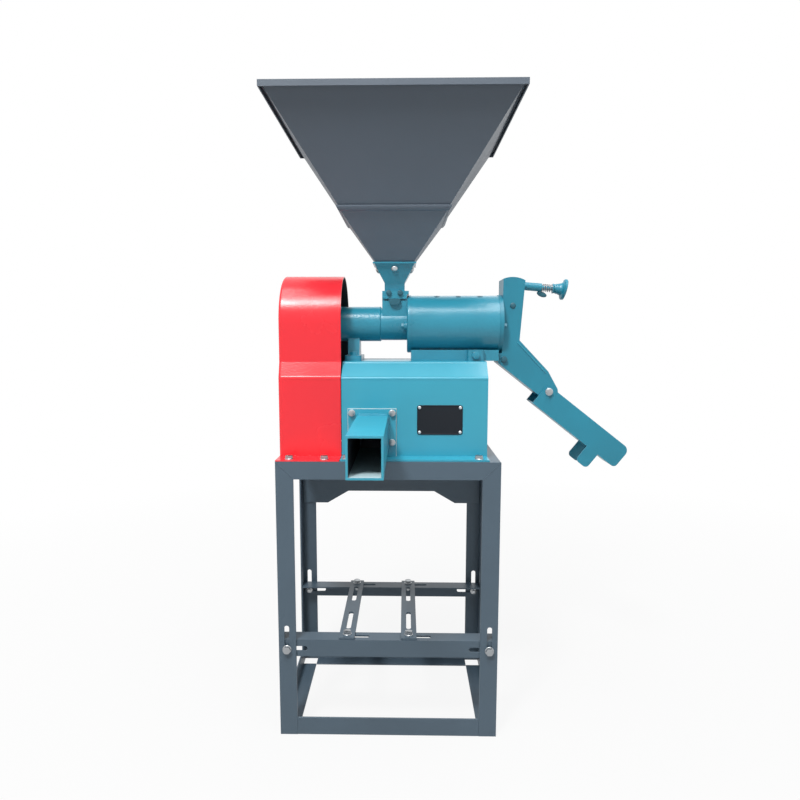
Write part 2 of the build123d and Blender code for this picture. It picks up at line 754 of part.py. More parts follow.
carrier_bolt_reach = CARRIER_BOLT_AT * sin(radians(45))
with BuildPart() as carrier_screws:
    for dy in (-1, 1):
        for dz in (-1, 1):
            screw_y = FAN_Y + dy * carrier_bolt_reach
            screw_z = FAN_Z + dz * carrier_bolt_reach
            fasten(spot(BASE_LEFT, screw_y, screw_z, (-1, 0, 0)), M6, SHEET + CARRIER_FLANGE_T, nut=False)

with BuildPart() as fan_bearings:
    for start in (CARRIER_LEFT, CARRIER_RIGHT - FAN_BEARING_W):
        disc(fan_axis.offset(start), FAN_BEARING_R - PRESS_FIT, FAN_BEARING_W, FAN_SHAFT_R + RUN_FIT)

with BuildPart() as fan_shaft:
    fan_shaft_left = FAN_GROOVE_X - FAN_PULLEY_W / 2
    disc(fan_axis.offset(fan_shaft_left), FAN_SHAFT_R, WHEEL_RIGHT - fan_shaft_left)
    collar_left = CARRIER_LEFT + FAN_BEARING_W + SIDE_GAP
    collar_right = CARRIER_RIGHT - FAN_BEARING_W - SIDE_GAP
    disc(fan_axis.offset(collar_left), FAN_COLLAR_R, collar_right - collar_left)

with BuildPart() as fan_wheel:
    disc(fan_axis.offset(WHEEL_LEFT), WHEEL_HUB_R, WHEEL_RIGHT - WHEEL_LEFT)
    disc(fan_axis.offset(WHEEL_LEFT), FAN_R, WHEEL_PLATE)
    with BuildSketch(SIDE.offset(WHEEL_LEFT + WHEEL_PLATE)):
        with Locations((FAN_Y, FAN_Z)):
            with PolarLocations((FAN_R + WHEEL_HUB_R - BLADE_T) / 2, BLADES):
                Rectangle(FAN_R - WHEEL_HUB_R + BLADE_T, BLADE_T)
    extrude(amount=BLADE_L)
    disc(fan_axis.offset(WHEEL_LEFT), FAN_SHAFT_R + PRESS_FIT, WHEEL_RIGHT - WHEEL_LEFT, mode=Mode.SUBTRACT)

fan_section = Plane(origin=fan_axis.origin, x_dir=(1, 0, 0), z_dir=(0, -1, 0))
with BuildPart() as fan_pulley:
    with BuildSketch(fan_section):
        with Locations((FAN_GROOVE_X, 0)):
            Rectangle(FAN_PULLEY_W, FAN_PULLEY_R, align=FOOT)
            Rectangle(FAN_PULLEY_W, FAN_SHAFT_R + PRESS_FIT, align=FOOT, mode=Mode.SUBTRACT)
        groove(FAN_GROOVE_X, FAN_PULLEY_R)
    revolve(axis=Axis(fan_axis.origin, (1, 0, 0)))

# Belt from the main pulley down to the blower
belt_big = PULLEY_R - BELT_H / 2
belt_small = FAN_PULLEY_R - BELT_H / 2
fall = atan2(FAN_Z - AXIS_Z, FAN_Y)
span = ((FAN_Z - AXIS_Z) ** 2 + FAN_Y**2) ** 0.5
lean = acos((belt_big - belt_small) / span)


def on_pulley(turn, centre, radius):
    """Point on a pulley circle in the plane of the belt."""
    return (centre[0] + radius * cos(turn), centre[1] + radius * sin(turn))


main_centre = (0.0, AXIS_Z)
fan_centre = (FAN_Y, FAN_Z)
belt_start = on_pulley(fall + lean, main_centre, belt_big)
belt_end = on_pulley(fall - lean, main_centre, belt_big)
fan_start = on_pulley(fall + lean, fan_centre, belt_small)
fan_end = on_pulley(fall - lean, fan_centre, belt_small)
with BuildPart() as fan_belt:
    with BuildLine(SIDE.offset(FAN_GROOVE_X)) as loop:
        Line(belt_start, fan_start)
        ThreePointArc(fan_start, on_pulley(fall, fan_centre, belt_small), fan_end)
        Line(fan_end, belt_end)
        ThreePointArc(belt_end, on_pulley(fall, main_centre, -belt_big), belt_start)
    belt_foot = BELT_W - 2 * BELT_H * tan(radians(GROOVE_ANGLE))
    out = (0, cos(fall + lean), sin(fall + lean))
    with BuildSketch(
        Plane(
            origin=(STAND_X + FAN_GROOVE_X, STAND_Y + belt_start[0], belt_start[1]),
            x_dir=(1, 0, 0),
            z_dir=(0, -out[2], out[1]),
        )
    ):
        with BuildLine():
            Polyline(
                (-BELT_W / 2, BELT_H / 2),
                (BELT_W / 2, BELT_H / 2),
                (belt_foot / 2, -BELT_H / 2),
                (-belt_foot / 2, -BELT_H / 2),
                close=True,
            )
        make_face()
    sweep(path=loop.wire())

# Belt guard
guard_flange = STAND_D / 2 - GUARD_FLANGE_IN


def guard_outline(inset):
    """Draws the outline of the guard, drawn in by an inset."""
    half = GUARD_HALF - inset
    round_r = GUARD_R - inset
    with BuildLine() as edge:
        Polyline(
            (-round_r, AXIS_Z),
            (-round_r, BASE_TOP - 0.3 * inset),
            (-half, BASE_SHOULDER_Z - 0.3 * inset),
            (-half, STAND_H),
            (half, STAND_H),
            (half, BASE_SHOULDER_Z - 0.3 * inset),
            (round_r, BASE_TOP - 0.3 * inset),
            (round_r, AXIS_Z),
        )
        ThreePointArc((round_r, AXIS_Z), (0, AXIS_Z + round_r), (-round_r, AXIS_Z))
    make_face(edge.edges())


with BuildPart() as belt_guard:
    with BuildSketch(SIDE.offset(GUARD_LEFT)):
        guard_outline(0)
    extrude(amount=GUARD_RIGHT - GUARD_LEFT)
    outer_edges = belt_guard.edges().filter_by_position(
        Axis.X, STAND_X + GUARD_LEFT - 0.1, STAND_X + GUARD_LEFT + 0.1
    )
    fillet(outer_edges.filter_by(lambda edge: edge.center().Z > STAND_H + 1), GUARD_EDGE)
    with BuildSketch(SIDE.offset(GUARD_LEFT + GUARD_T)):
        guard_outline(GUARD_T)
    extrude(amount=GUARD_RIGHT - GUARD_LEFT - GUARD_T, mode=Mode.SUBTRACT)
    with BuildSketch(PLAN.offset(STAND_H)):
        for end in (-1, 1):
            with Locations(
                ((GUARD_LEFT + GUARD_RIGHT) / 2, end * (GUARD_HALF - GUARD_T + guard_flange) / 2)
            ):
                Rectangle(GUARD_RIGHT - GUARD_LEFT, guard_flange - GUARD_HALF + GUARD_T)
            with Locations(*[(x, end * deck_bolt_y) for x in guard_bolts_x]):
                Circle(M8[0] + HOLE_GAP, mode=Mode.SUBTRACT)
    extrude(amount=GUARD_T)

# Shaft bearings
shaft_axis = spot(0, 0, AXIS_Z, (1, 0, 0))
pocket = BEARING_W + SIDE_GAP
pedestal_high = AXIS_Z - HOUSING_BORE
with BuildPart() as bearing_housing:
    disc(shaft_axis.offset(HOUSING_LEFT), HOUSING_R, CHAMBER_LEFT - HOUSING_LEFT)
    with BuildSketch(SIDE.offset(pedestal_x - PEDESTAL_T / 2)):
        with BuildLine():
            Polyline(
                (-PEDESTAL_FOOT, BASE_TOP),
                (-PEDESTAL_NECK, pedestal_high),
                (PEDESTAL_NECK, pedestal_high),
                (PEDESTAL_FOOT, BASE_TOP),
                close=True,
            )
        make_face()
    extrude(amount=PEDESTAL_T)
    with BuildSketch(PLAN.offset(BASE_TOP)):
        with Locations((pedestal_x, 0)):
            RectangleRounded(FOOT_W, FOOT_D, FOOT_H / 2)
    extrude(amount=FOOT_H)
    with BuildSketch(PLAN.offset(BASE_TOP)):
        with Locations((pedestal_x, -FOOT_BOLT_Y), (pedestal_x, FOOT_BOLT_Y)):
            Circle(M8[0] + HOLE_GAP)
    extrude(amount=FOOT_H, mode=Mode.SUBTRACT)
    disc(shaft_axis.offset(HOUSING_LEFT), HOUSING_BORE, CHAMBER_LEFT - HOUSING_LEFT, mode=Mode.SUBTRACT)
    disc(shaft_axis.offset(HOUSING_LEFT), BEARING_R, pocket, mode=Mode.SUBTRACT)
    disc(shaft_axis.offset(CHAMBER_LEFT), BEARING_R, -pocket, mode=Mode.SUBTRACT)

with BuildPart() as pedestal_bolts:
    for end in (-1, 1):
        fasten(spot(pedestal_x, end * FOOT_BOLT_Y, BASE_TOP + FOOT_H), M8, FOOT_H + SHEET)

with BuildPart() as main_bearings:
    for start in (HOUSING_LEFT + SIDE_GAP, CHAMBER_LEFT - pocket):
        disc(shaft_axis.offset(start), BEARING_R - PRESS_FIT, BEARING_W, SHAFT_R + RUN_FIT)

with BuildPart() as bearing_cap:
    disc(shaft_axis.offset(HOUSING_LEFT), HOUSING_R, -CAP_T, SHAFT_R + HOLE_GAP)

with BuildPart() as main_shaft:
    disc(shaft_axis.offset(PULLEY_LEFT), SHAFT_R, ROLLER_RIGHT - PULLEY_LEFT)
    disc(shaft_axis.offset(PULLEY_LEFT), SHAFT_END_R, -SHAFT_END_L)
    disc(shaft_axis.offset(ROLLER_RIGHT), SHAFT_END_R, SHAFT_END_L)

with BuildPart() as shaft_nuts:
    for start, length in ((PULLEY_LEFT, -SHAFT_NUT_L), (ROLLER_RIGHT, SHAFT_NUT_L)):
        with BuildSketch(shaft_axis.offset(start)) as nut_outline:
            RegularPolygon(SHAFT_NUT_R, 6)
            Circle(SHAFT_END_R + PRESS_FIT, mode=Mode.SUBTRACT)
        extrude(nut_outline.sketch, amount=length)

shaft_section = Plane(origin=shaft_axis.origin, x_dir=(1, 0, 0), z_dir=(0, -1, 0))
pulley_mid = (PULLEY_LEFT + PULLEY_RIGHT) / 2
pulley_w = PULLEY_RIGHT - PULLEY_LEFT
with BuildPart() as main_pulley:
    with BuildSketch(shaft_section):
        with Locations((pulley_mid, PULLEY_R - PULLEY_RIM)):
            Rectangle(pulley_w, PULLEY_RIM, align=FOOT)
        with Locations((pulley_mid, PULLEY_HUB_R - SHAFT_R / 2)):
            Rectangle(PULLEY_WEB, PULLEY_R - PULLEY_RIM / 2 - PULLEY_HUB_R, align=FOOT)
        with Locations((pulley_mid, SHAFT_R + PRESS_FIT)):
            Rectangle(pulley_w, PULLEY_HUB_R - SHAFT_R - PRESS_FIT, align=FOOT)
        groove(MOTOR_GROOVE_X, PULLEY_R)
        groove(FAN_GROOVE_X, PULLEY_R)
    revolve(axis=Axis(shaft_axis.origin, (1, 0, 0)))
    with BuildSketch(SIDE.offset(pulley_mid - PULLEY_WEB / 2)):
        with Locations((0, AXIS_Z)):
            with PolarLocations(PULLEY_HOLE_AT, PULLEY_HOLES):
                Circle(PULLEY_HOLE_R)
    extrude(amount=PULLEY_WEB, mode=Mode.SUBTRACT)

# Feed screw and milling roller
screw_left = CHAMBER_LEFT + CHAMBER_WALL + SIDE_GAP
screw_start = shaft_axis.offset(screw_left + SCREW_BLADE).origin
with BuildPart() as feed_screw:
    with BuildLine() as thread:
        Helix(
            SCREW_PITCH,
            ROLLER_LEFT - screw_left - 2 * SCREW_BLADE,
            (SCREW_CORE_R + SCREW_R) / 2,
            center=screw_start,
            direction=(1, 0, 0),
        )
    with BuildSketch(
        Plane(
            origin=thread.line @ 0,
            x_dir=(thread.line @ 0) - screw_start,
            z_dir=thread.line % 0,
        )
    ):
        Rectangle(SCREW_R - SCREW_CORE_R + SIDE_GAP, SCREW_BLADE)
    sweep(path=thread.wire(), is_frenet=True)
    disc(shaft_axis.offset(screw_left), SCREW_CORE_R, ROLLER_LEFT - screw_left)
    disc(shaft_axis.offset(screw_left), SHAFT_R + PRESS_FIT, ROLLER_LEFT - screw_left, mode=Mode.SUBTRACT)

with BuildPart() as milling_roller:
    with BuildSketch(SIDE.offset(ROLLER_LEFT)):
        with Locations((0, AXIS_Z)):
            Circle(ROLLER_CORE_R)
            with PolarLocations(ROLLER_CORE_R, ROLLER_RIBS, start_angle=15):
                Rectangle(2 * (ROLLER_R - ROLLER_CORE_R), ROLLER_RIB_W)
            Circle(SHAFT_R + PRESS_FIT, mode=Mode.SUBTRACT)
    extrude(amount=ROLLER_RIGHT - ROLLER_LEFT)

# Feed chamber with its neck, ears and gate seat
flange_deep = NECK_DEEP + SEAT_FLANGE_OVER
with BuildPart() as feed_chamber:
    disc(shaft_axis.offset(CHAMBER_LEFT), CHAMBER_R, DRUM_LEFT - CHAMBER_LEFT)
    with BuildSketch(SIDE.offset(DRUM_LEFT)):
        with Locations((0, AXIS_Z - EAR_DOWN)):
            RectangleRounded(2 * EAR_HALF, EAR_H, EAR_H / 2 - PRESS_FIT)
    extrude(amount=-EAR_T)
    with BuildSketch(HOPPER.offset(AXIS_Z)):
        Rectangle(2 * NECK_HALF, 2 * NECK_DEEP)
    extrude(amount=NECK_FLANGE_TOP - AXIS_Z)
    with BuildSketch(HOPPER.offset(NECK_TOP)):
        Rectangle(2 * NECK_HALF, 2 * flange_deep)
    extrude(amount=NECK_FLANGE_TOP - NECK_TOP)
    with BuildSketch(HOPPER.offset(GATE_LOW)):
        with Locations((0, -SEAT_FLANGE_OVER)):
            Rectangle(2 * (GATE_HALF + SLIDE_GAP), 2 * NECK_DEEP)
    extrude(amount=GATE_HIGH - GATE_LOW, mode=Mode.SUBTRACT)
    with BuildSketch(HOPPER.offset(AXIS_Z)):
        Rectangle(2 * THROAT_HALF, 2 * THROAT_HALF)
    extrude(amount=NECK_FLANGE_TOP - AXIS_Z, mode=Mode.SUBTRACT)
    disc(
        shaft_axis.offset(CHAMBER_LEFT + CHAMBER_WALL),
        CHAMBER_BORE,
        DRUM_LEFT - CHAMBER_LEFT,
        mode=Mode.SUBTRACT,
    )
    disc(shaft_axis.offset(CHAMBER_LEFT), SHAFT_R + HOLE_GAP, CHAMBER_WALL, mode=Mode.SUBTRACT)
    with BuildSketch(SIDE.offset(DRUM_LEFT)):
        with Locations((-FLANGE_BOLT_Y, AXIS_Z - EAR_DOWN), (FLANGE_BOLT_Y, AXIS_Z - EAR_DOWN)):
            Circle(M6[0] + HOLE_GAP)
    extrude(amount=-EAR_T, mode=Mode.SUBTRACT)

gate_low = GATE_LOW + SLIDE_GAP
tongue_y = NECK_DEEP + TONGUE_L
with BuildPart() as feed_gate:
    with BuildSketch(HOPPER.offset(gate_low)):
        with Locations((0, GATE_BACK)):
            Rectangle(2 * GATE_HALF, GATE_BACK + NECK_DEEP, align=(Align.CENTER, Align.MAX))
        with Locations((0, -NECK_DEEP)):
            Rectangle(TONGUE_W, TONGUE_L, align=(Align.CENTER, Align.MAX))
    extrude(amount=GATE_T)
    with BuildSketch(FRONT.offset(tongue_y)):
        with Locations((HOPPER_X, gate_low + GATE_T)):
            Rectangle(TONGUE_W, TONGUE_H, align=(Align.CENTER, Align.MAX))
        fillet(vertices().group_by(Axis.Y)[0], TONGUE_ROUND)
    extrude(amount=-GATE_T)

# Hopper seat and hopper
seat_slope = (SEAT_TOP_HALF - SEAT_NECK_HALF) / (SEAT_TOP - SEAT_NECK_TOP)
seat_bolt_half = SEAT_NECK_HALF + (SEAT_BOLT_Z - SEAT_NECK_TOP) * seat_slope
spout_half = SEAT_NECK_HALF - SEAT_WALL + (SPOUT_Z - SEAT_NECK_TOP) * seat_slope - LAP_GAP
spout_top_half = SEAT_TOP_HALF - SEAT_WALL - LAP_GAP
seat_faces = [
    spot(HOPPER_X, -end * seat_bolt_half, SEAT_BOLT_Z, (0, -end, -seat_slope)) for end in (1, -1)
]

with BuildPart() as hopper_seat:
    square_funnel(
        ((NECK_FLANGE_TOP, SEAT_NECK_HALF), (SEAT_NECK_TOP, SEAT_NECK_HALF), (SEAT_TOP, SEAT_TOP_HALF)),
        SEAT_WALL,
    )
    with BuildSketch(HOPPER.offset(NECK_FLANGE_TOP)):
        with Locations((SEAT_FLANGE_X, 0)):
            Rectangle(SEAT_FLANGE_W, 2 * flange_deep)
        Rectangle(2 * (SEAT_NECK_HALF - SEAT_WALL), 2 * (SEAT_NECK_HALF - SEAT_WALL), mode=Mode.SUBTRACT)
    extrude(amount=SEAT_FLANGE_TOP - NECK_FLANGE_TOP)
    with BuildSketch(HOPPER.offset(SEAT_TOP)):
        Rectangle(2 * (SEAT_TOP_HALF + SEAT_LIP), 2 * (SEAT_TOP_HALF + SEAT_LIP))
        Rectangle(2 * (SEAT_TOP_HALF - SEAT_LIP), 2 * (SEAT_TOP_HALF - SEAT_LIP), mode=Mode.SUBTRACT)
    extrude(amount=-SEAT_LIP_H)
    for face in seat_faces:
        disc(face.offset(SEAT_WALL), M6[0] + SLIDE_GAP, -SEAT_BOLT_L, mode=Mode.SUBTRACT)

lap_slope = (LAP_HALF - spout_top_half) / (LAP_HIGH - SEAT_TOP)
hem_low = LAP_HIGH - LAP_HEM_H
hem_half = LAP_HALF + LAP_HEM
with BuildPart() as hopper_lower:
    square_funnel(
        ((SPOUT_Z, spout_half), (SEAT_TOP, spout_top_half), (LAP_HIGH, LAP_HALF)), HOPPER_WALL
    )
    square_funnel(
        ((hem_low, hem_half - lap_slope * LAP_HEM_H), (LAP_HIGH, hem_half)), HOPPER_WALL + LAP_HEM
    )
    for face in seat_faces:
        disc(face.offset(SEAT_WALL), M6[0] + SLIDE_GAP, -SEAT_BOLT_L, mode=Mode.SUBTRACT)

upper_half = LAP_HALF - HOPPER_WALL - LAP_GAP
with BuildPart() as hopper_upper:
    square_funnel(
        (
            (LAP_LOW, upper_half - lap_slope * (LAP_HIGH - LAP_LOW)),
            (LAP_HIGH, upper_half),
            (HOPPER_TOP, HOPPER_TOP_HALF),
        ),
        HOPPER_WALL,
    )
    with BuildSketch(HOPPER.offset(RIM_LOW)):
        Rectangle(2 * RIM_HALF, 2 * RIM_HALF)
        Rectangle(2 * (RIM_HALF - HOPPER_WALL), 2 * (RIM_HALF - HOPPER_WALL), mode=Mode.SUBTRACT)
    extrude(amount=RIM_HIGH - RIM_LOW)
    with BuildSketch(HOPPER.offset(HOPPER_TOP)):
        Rectangle(2 * RIM_HALF, 2 * RIM_HALF)
        Rectangle(
            2 * (HOPPER_TOP_HALF - HOPPER_WALL), 2 * (HOPPER_TOP_HALF - HOPPER_WALL), mode=Mode.SUBTRACT
        )
    extrude(amount=RIM_HIGH - HOPPER_TOP)

with BuildPart() as hopper_bolts:
    for face in seat_faces:
        disc(face, M6[3], SEAT_BOLT_WASHER)
        disc(face.offset(SEAT_BOLT_WASHER), SEAT_BOLT_HEAD_R, SEAT_BOLT_HEAD_H)
        disc(face, M6[0], -SEAT_BOLT_L)

# Milling drum
drum_bore = DRUM_R - DRUM_WALL
drum_split_z = AXIS_Z - DRUM_SPLIT
knife_seats = [Plane(origin=(STAND_X + x, STAND_Y, AXIS_Z), z_dir=KNIFE_WAY) for x in KNIFE_SCREWS_X]
with BuildPart() as drum_cover:
    disc(shaft_axis.offset(DRUM_LEFT), DRUM_R, DRUM_RIGHT - DRUM_LEFT, drum_bore)
    with BuildSketch(PLAN.offset(drum_split_z)):
        with Locations(((DRUM_LEFT + DRUM_RIGHT) / 2, 0)):
            Rectangle(DRUM_RIGHT - DRUM_LEFT, 2 * DRUM_R)
    extrude(amount=-DRUM_R, mode=Mode.SUBTRACT)
    disc(shaft_axis.offset(DRUM_LEFT), DRUM_FLANGE_R, DRUM_FLANGE_T, CHAMBER_BORE)
    left_edges = drum_cover.edges().filter_by_position(
        Axis.X, STAND_X + DRUM_LEFT - SLIDE_GAP, STAND_X + DRUM_LEFT + SLIDE_GAP
    )
    fillet(left_edges.sort_by(SortBy.LENGTH)[-1], DRUM_EDGE)
    with BuildSketch(SIDE.offset(DRUM_LEFT)):
        with Locations((-FLANGE_BOLT_Y, AXIS_Z - EAR_DOWN), (FLANGE_BOLT_Y, AXIS_Z - EAR_DOWN)):
            Circle(M6[0] + HOLE_GAP)
    extrude(amount=DRUM_FLANGE_T, mode=Mode.SUBTRACT)
    for seat in knife_seats:
        disc(seat.offset(drum_bore - DRUM_WALL), M6[0] + SLIDE_GAP, 2 * DRUM_WALL, mode=Mode.SUBTRACT)
        disc(seat.offset(DRUM_R - KNIFE_SINK), KNIFE_HEAD_R + HOLE_GAP, DRUM_WALL, mode=Mode.SUBTRACT)

drum_mid = (DRUM_LEFT + DRUM_FLANGE_T + DRUM_RIGHT) / 2
saddle_l = DRUM_RIGHT - DRUM_LEFT - DRUM_FLANGE_T
with BuildPart() as drum_saddle:
    disc(shaft_axis.offset(DRUM_LEFT + DRUM_FLANGE_T), DRUM_R, saddle_l)
    with BuildSketch(PLAN.offset(drum_split_z)):
        with Locations((drum_mid, 0)):
            Rectangle(saddle_l, 2 * DRUM_R)
    extrude(amount=2 * DRUM_R, mode=Mode.SUBTRACT)
    with BuildSketch(PLAN.offset(BASE_TOP)):
        with Locations((drum_mid, 0)):
            Rectangle(saddle_l, 2 * SADDLE_HALF)
    extrude(amount=SADDLE_TOP - BASE_TOP)
    with BuildSketch(PLAN.offset(BASE_TOP)):
        with Locations((lug_x, 0)):
            RectangleRounded(LUG_RIGHT - LUG_LEFT, 2 * LUG_HALF, LUG_ROUND)
    extrude(amount=LUG_TOP - BASE_TOP)
    disc(shaft_axis.offset(DRUM_LEFT + DRUM_FLANGE_T), drum_bore, saddle_l, mode=Mode.SUBTRACT)
    with BuildSketch(PLAN.offset(BASE_TOP)):
        with Locations(((BRAN_LEFT + BRAN_RIGHT) / 2, 0)):
            Rectangle(BRAN_RIGHT - BRAN_LEFT, 2 * BRAN_HALF)
    extrude(amount=drum_split_z - BASE_TOP, mode=Mode.SUBTRACT)
    with BuildSketch(PLAN.offset(BASE_TOP)):
        with Locations((saddle_bolt_x, -saddle_bolt_y), (saddle_bolt_x, saddle_bolt_y)):
            Circle(M6[0] + HOLE_GAP)
    extrude(amount=SADDLE_BOLT_L, mode=Mode.SUBTRACT)
    for end in (-1, 1):
        lug_face = spot(lug_x, end * LUG_HALF, lug_z, (0, end, 0))
        disc(lug_face, M8[0] + HOLE_GAP, -LUG_BOLT_L, mode=Mode.SUBTRACT)

with BuildPart() as saddle_bolts:
    for end in (-1, 1):
        fasten(spot(lug_x, end * LUG_HALF, lug_z, (0, end, 0)), M8, LUG_BOLT_L, nut=False)
        fasten(
            spot(saddle_bolt_x, end * saddle_bolt_y, BASE_TOP - SHEET, (0, 0, -1)),
            M6,
            SHEET + SADDLE_BOLT_L,
            nut=False,
        )

screen_r = drum_bore - SCREEN_GAP
screen_left = DRUM_LEFT + DRUM_FLANGE_T + SIDE_GAP
screen_l = DRUM_RIGHT - END_SPIGOT_L - SIDE_GAP - screen_left
with BuildPart() as milling_screen:
    disc(shaft_axis.offset(screen_left), screen_r, screen_l, screen_r - SCREEN_T)
    with BuildSketch(PLAN.offset(AXIS_Z - SCREEN_DROP)):
        with Locations((screen_left + screen_l / 2, 0)):
            Rectangle(screen_l, 2 * screen_r)
    extrude(amount=3 * screen_r, mode=Mode.SUBTRACT)
    with BuildSketch(PLAN.offset(AXIS_Z - screen_r)):
        with Locations(((BRAN_LEFT + BRAN_RIGHT) / 2, 0)):
            with GridLocations(10.0, 15.0, 10, 3):
                SlotOverall(SCREEN_SLOT_L, SCREEN_SLOT_W, rotation=60)
    extrude(amount=screen_r / 4, mode=Mode.SUBTRACT)

knife_plane = Plane(origin=(STAND_X, STAND_Y, AXIS_Z), x_dir=(1, 0, 0), z_dir=KNIFE_WAY)
knife_top = (drum_bore**2 - KNIFE_W**2 / 4) ** 0.5 - RUN_FIT
knife_foot = KNIFE_TIP_R + KNIFE_W / 4
with BuildPart() as rice_knife:
    with BuildSketch(knife_plane.offset(KNIFE_TIP_R)):
        with Locations((KNIFE_SCREWS_X[1], 0)):
            Rectangle(KNIFE_L, KNIFE_W)
    extrude(amount=knife_top - KNIFE_TIP_R)
    with BuildSketch(knife_plane.offset(knife_foot)):
        with Locations(*[(x, 0) for x in KNIFE_SCREWS_X]):
            Circle(M6[0] + PRESS_FIT)
    extrude(amount=knife_top - KNIFE_TIP_R, mode=Mode.SUBTRACT)

with BuildPart() as knife_screws:
    for seat in knife_seats:
        disc(seat.offset(DRUM_R - KNIFE_SINK), KNIFE_HEAD_R, KNIFE_HEAD_H)
        disc(seat.offset(knife_foot + SLIDE_GAP), M6[0], DRUM_R - KNIFE_SINK - knife_foot - SLIDE_GAP)

# Outlet end plate
plate_left = DRUM_RIGHT
plate_right = DRUM_RIGHT + END_PLATE_T
with BuildPart() as outlet_end_plate:
    disc(shaft_axis.offset(plate_left), END_PLATE_R, END_PLATE_T)
    disc(shaft_axis.offset(plate_left), drum_bore - SLIDE_GAP, -END_SPIGOT_L, drum_bore - END_SPIGOT_WALL)
    disc(shaft_axis.offset(plate_left), OUTLET_HOLE_R, END_PLATE_T, mode=Mode.SUBTRACT)
    with BuildSketch(SIDE.offset(plate_left)):
        with Locations((-FLANGE_BOLT_Y, AXIS_Z - EAR_DOWN), (FLANGE_BOLT_Y, AXIS_Z - EAR_DOWN)):
            Circle(M6[0] + HOLE_GAP)
    extrude(amount=END_PLATE_T, mode=Mode.SUBTRACT)

with BuildPart() as drum_flange_bolts:
    for end in (-1, 1):
        ear_z = AXIS_Z - EAR_DOWN
        fasten(
            spot(DRUM_LEFT - EAR_T, end * FLANGE_BOLT_Y, ear_z, (-1, 0, 0)),
            M6,
            EAR_T + DRUM_FLANGE_T,
            nut=False,
        )
        fasten(spot(plate_right, end * FLANGE_BOLT_Y, ear_z, (1, 0, 0)), M6, END_PLATE_T, nut=False)

# Outlet housing: two cheeks, left and right walls, chute floor and adjuster tube
floor_slope = tan(radians(CHUTE_ANGLE))
floor_x = CHUTE_PIVOT[0] - CHUTE_END_R * sin(radians(CHUTE_ANGLE))
floor_z = CHUTE_PIVOT[1] - CHUTE_END_R * cos(radians(CHUTE_ANGLE))
tail_x = plate_left + TAIL_GAP
tail_top = AXIS_Z - END_PLATE_R - TAIL_GAP
tail_z = floor_z + (floor_x - tail_x) * floor_slope
tip = (
    CHUTE_PIVOT[0] + CHUTE_END_R * cos(radians(20)),
    CHUTE_PIVOT[1] + CHUTE_END_R * sin(radians(20)),
)
tip_low = (
    CHUTE_PIVOT[0] + CHUTE_END_R * cos(radians(-50)),
    CHUTE_PIVOT[1] + CHUTE_END_R * sin(radians(-50)),
)
with BuildPart() as outlet_housing:
    with BuildSketch(FRONT.offset(OUTLET_HALF)):
        with BuildLine():
            Polyline(
                tip,
                OUTLET_LIP,
                OUTLET_WALL_FOOT,
                OUTLET_TOP_RIGHT,
            )
            ThreePointArc(OUTLET_TOP_RIGHT, OUTLET_TOP_MID, (plate_right, OUTLET_TOP_LEFT))
            Polyline(
                (plate_right, OUTLET_TOP_LEFT),
                (plate_right, tail_top),
                (tail_x, tail_top),
                (tail_x, tail_z),
                (floor_x, floor_z),
            )
            ThreePointArc((floor_x, floor_z), tip_low, tip)
        make_face()
        with Locations(CHUTE_PIVOT, FLAP_PIN):
            Circle(M8[0] + SLIDE_GAP, mode=Mode.SUBTRACT)
        with Locations(TIE_BOLT):
            Circle(M6[0] + SLIDE_GAP, mode=Mode.SUBTRACT)
    extrude(amount=-OUTLET_T)
    mirror(about=FRONT)
    with BuildSketch(FRONT.offset(OUTLET_HALF)):
        with BuildLine():
            Polyline(
                OUTLET_WALL_FOOT,
                OUTLET_TOP_RIGHT,
                (OUTLET_TOP_RIGHT[0] - OUTLET_T, OUTLET_TOP_RIGHT[1]),
                (OUTLET_WALL_FOOT[0] - OUTLET_T, OUTLET_WALL_FOOT[1]),
                close=True,
            )
        make_face()
        with BuildLine():
            Polyline(
                (tail_x, tail_z),
                (floor_x, floor_z),
                (floor_x + OUTLET_T * floor_slope, floor_z + OUTLET_T),
                (tail_x, tail_z + OUTLET_T * (1 + floor_slope**2)),
                close=True,
            )
        make_face()
        with Locations((plate_right, tail_top)):
            Rectangle(OUTLET_T, OUTLET_TOP_LEFT - tail_top, align=LOW)
    extrude(amount=-2 * OUTLET_HALF)
    disc(shaft_axis.offset(plate_right), OUTLET_HOLE_R, OUTLET_T, mode=Mode.SUBTRACT)
    disc(ROD.offset(-OUTLET_T), TUBE_R, TUBE_END + OUTLET_T)
    disc(ROD.offset(-3 * OUTLET_T), TUBE_BORE, TUBE_END + 3 * OUTLET_T, mode=Mode.SUBTRACT)

with BuildPart() as tie_bolt:
    for end in (-1, 1):
        fasten(
            spot(TIE_BOLT[0], end * OUTLET_HALF, TIE_BOLT[1], (0, end, 0)), M6, OUTLET_HALF, nut=False
        )

with BuildPart() as flap_pin:
    disc(spot(FLAP_PIN[0], -OUTLET_HALF, FLAP_PIN[1], (0, 1, 0)), FLAP_PIN_R, 2 * OUTLET_HALF)
    for end in (-1, 1):
        disc(spot(FLAP_PIN[0], end * OUTLET_HALF, FLAP_PIN[1], (0, end, 0)), FLAP_PIN_HEAD_R, FLAP_PIN_HEAD_H)

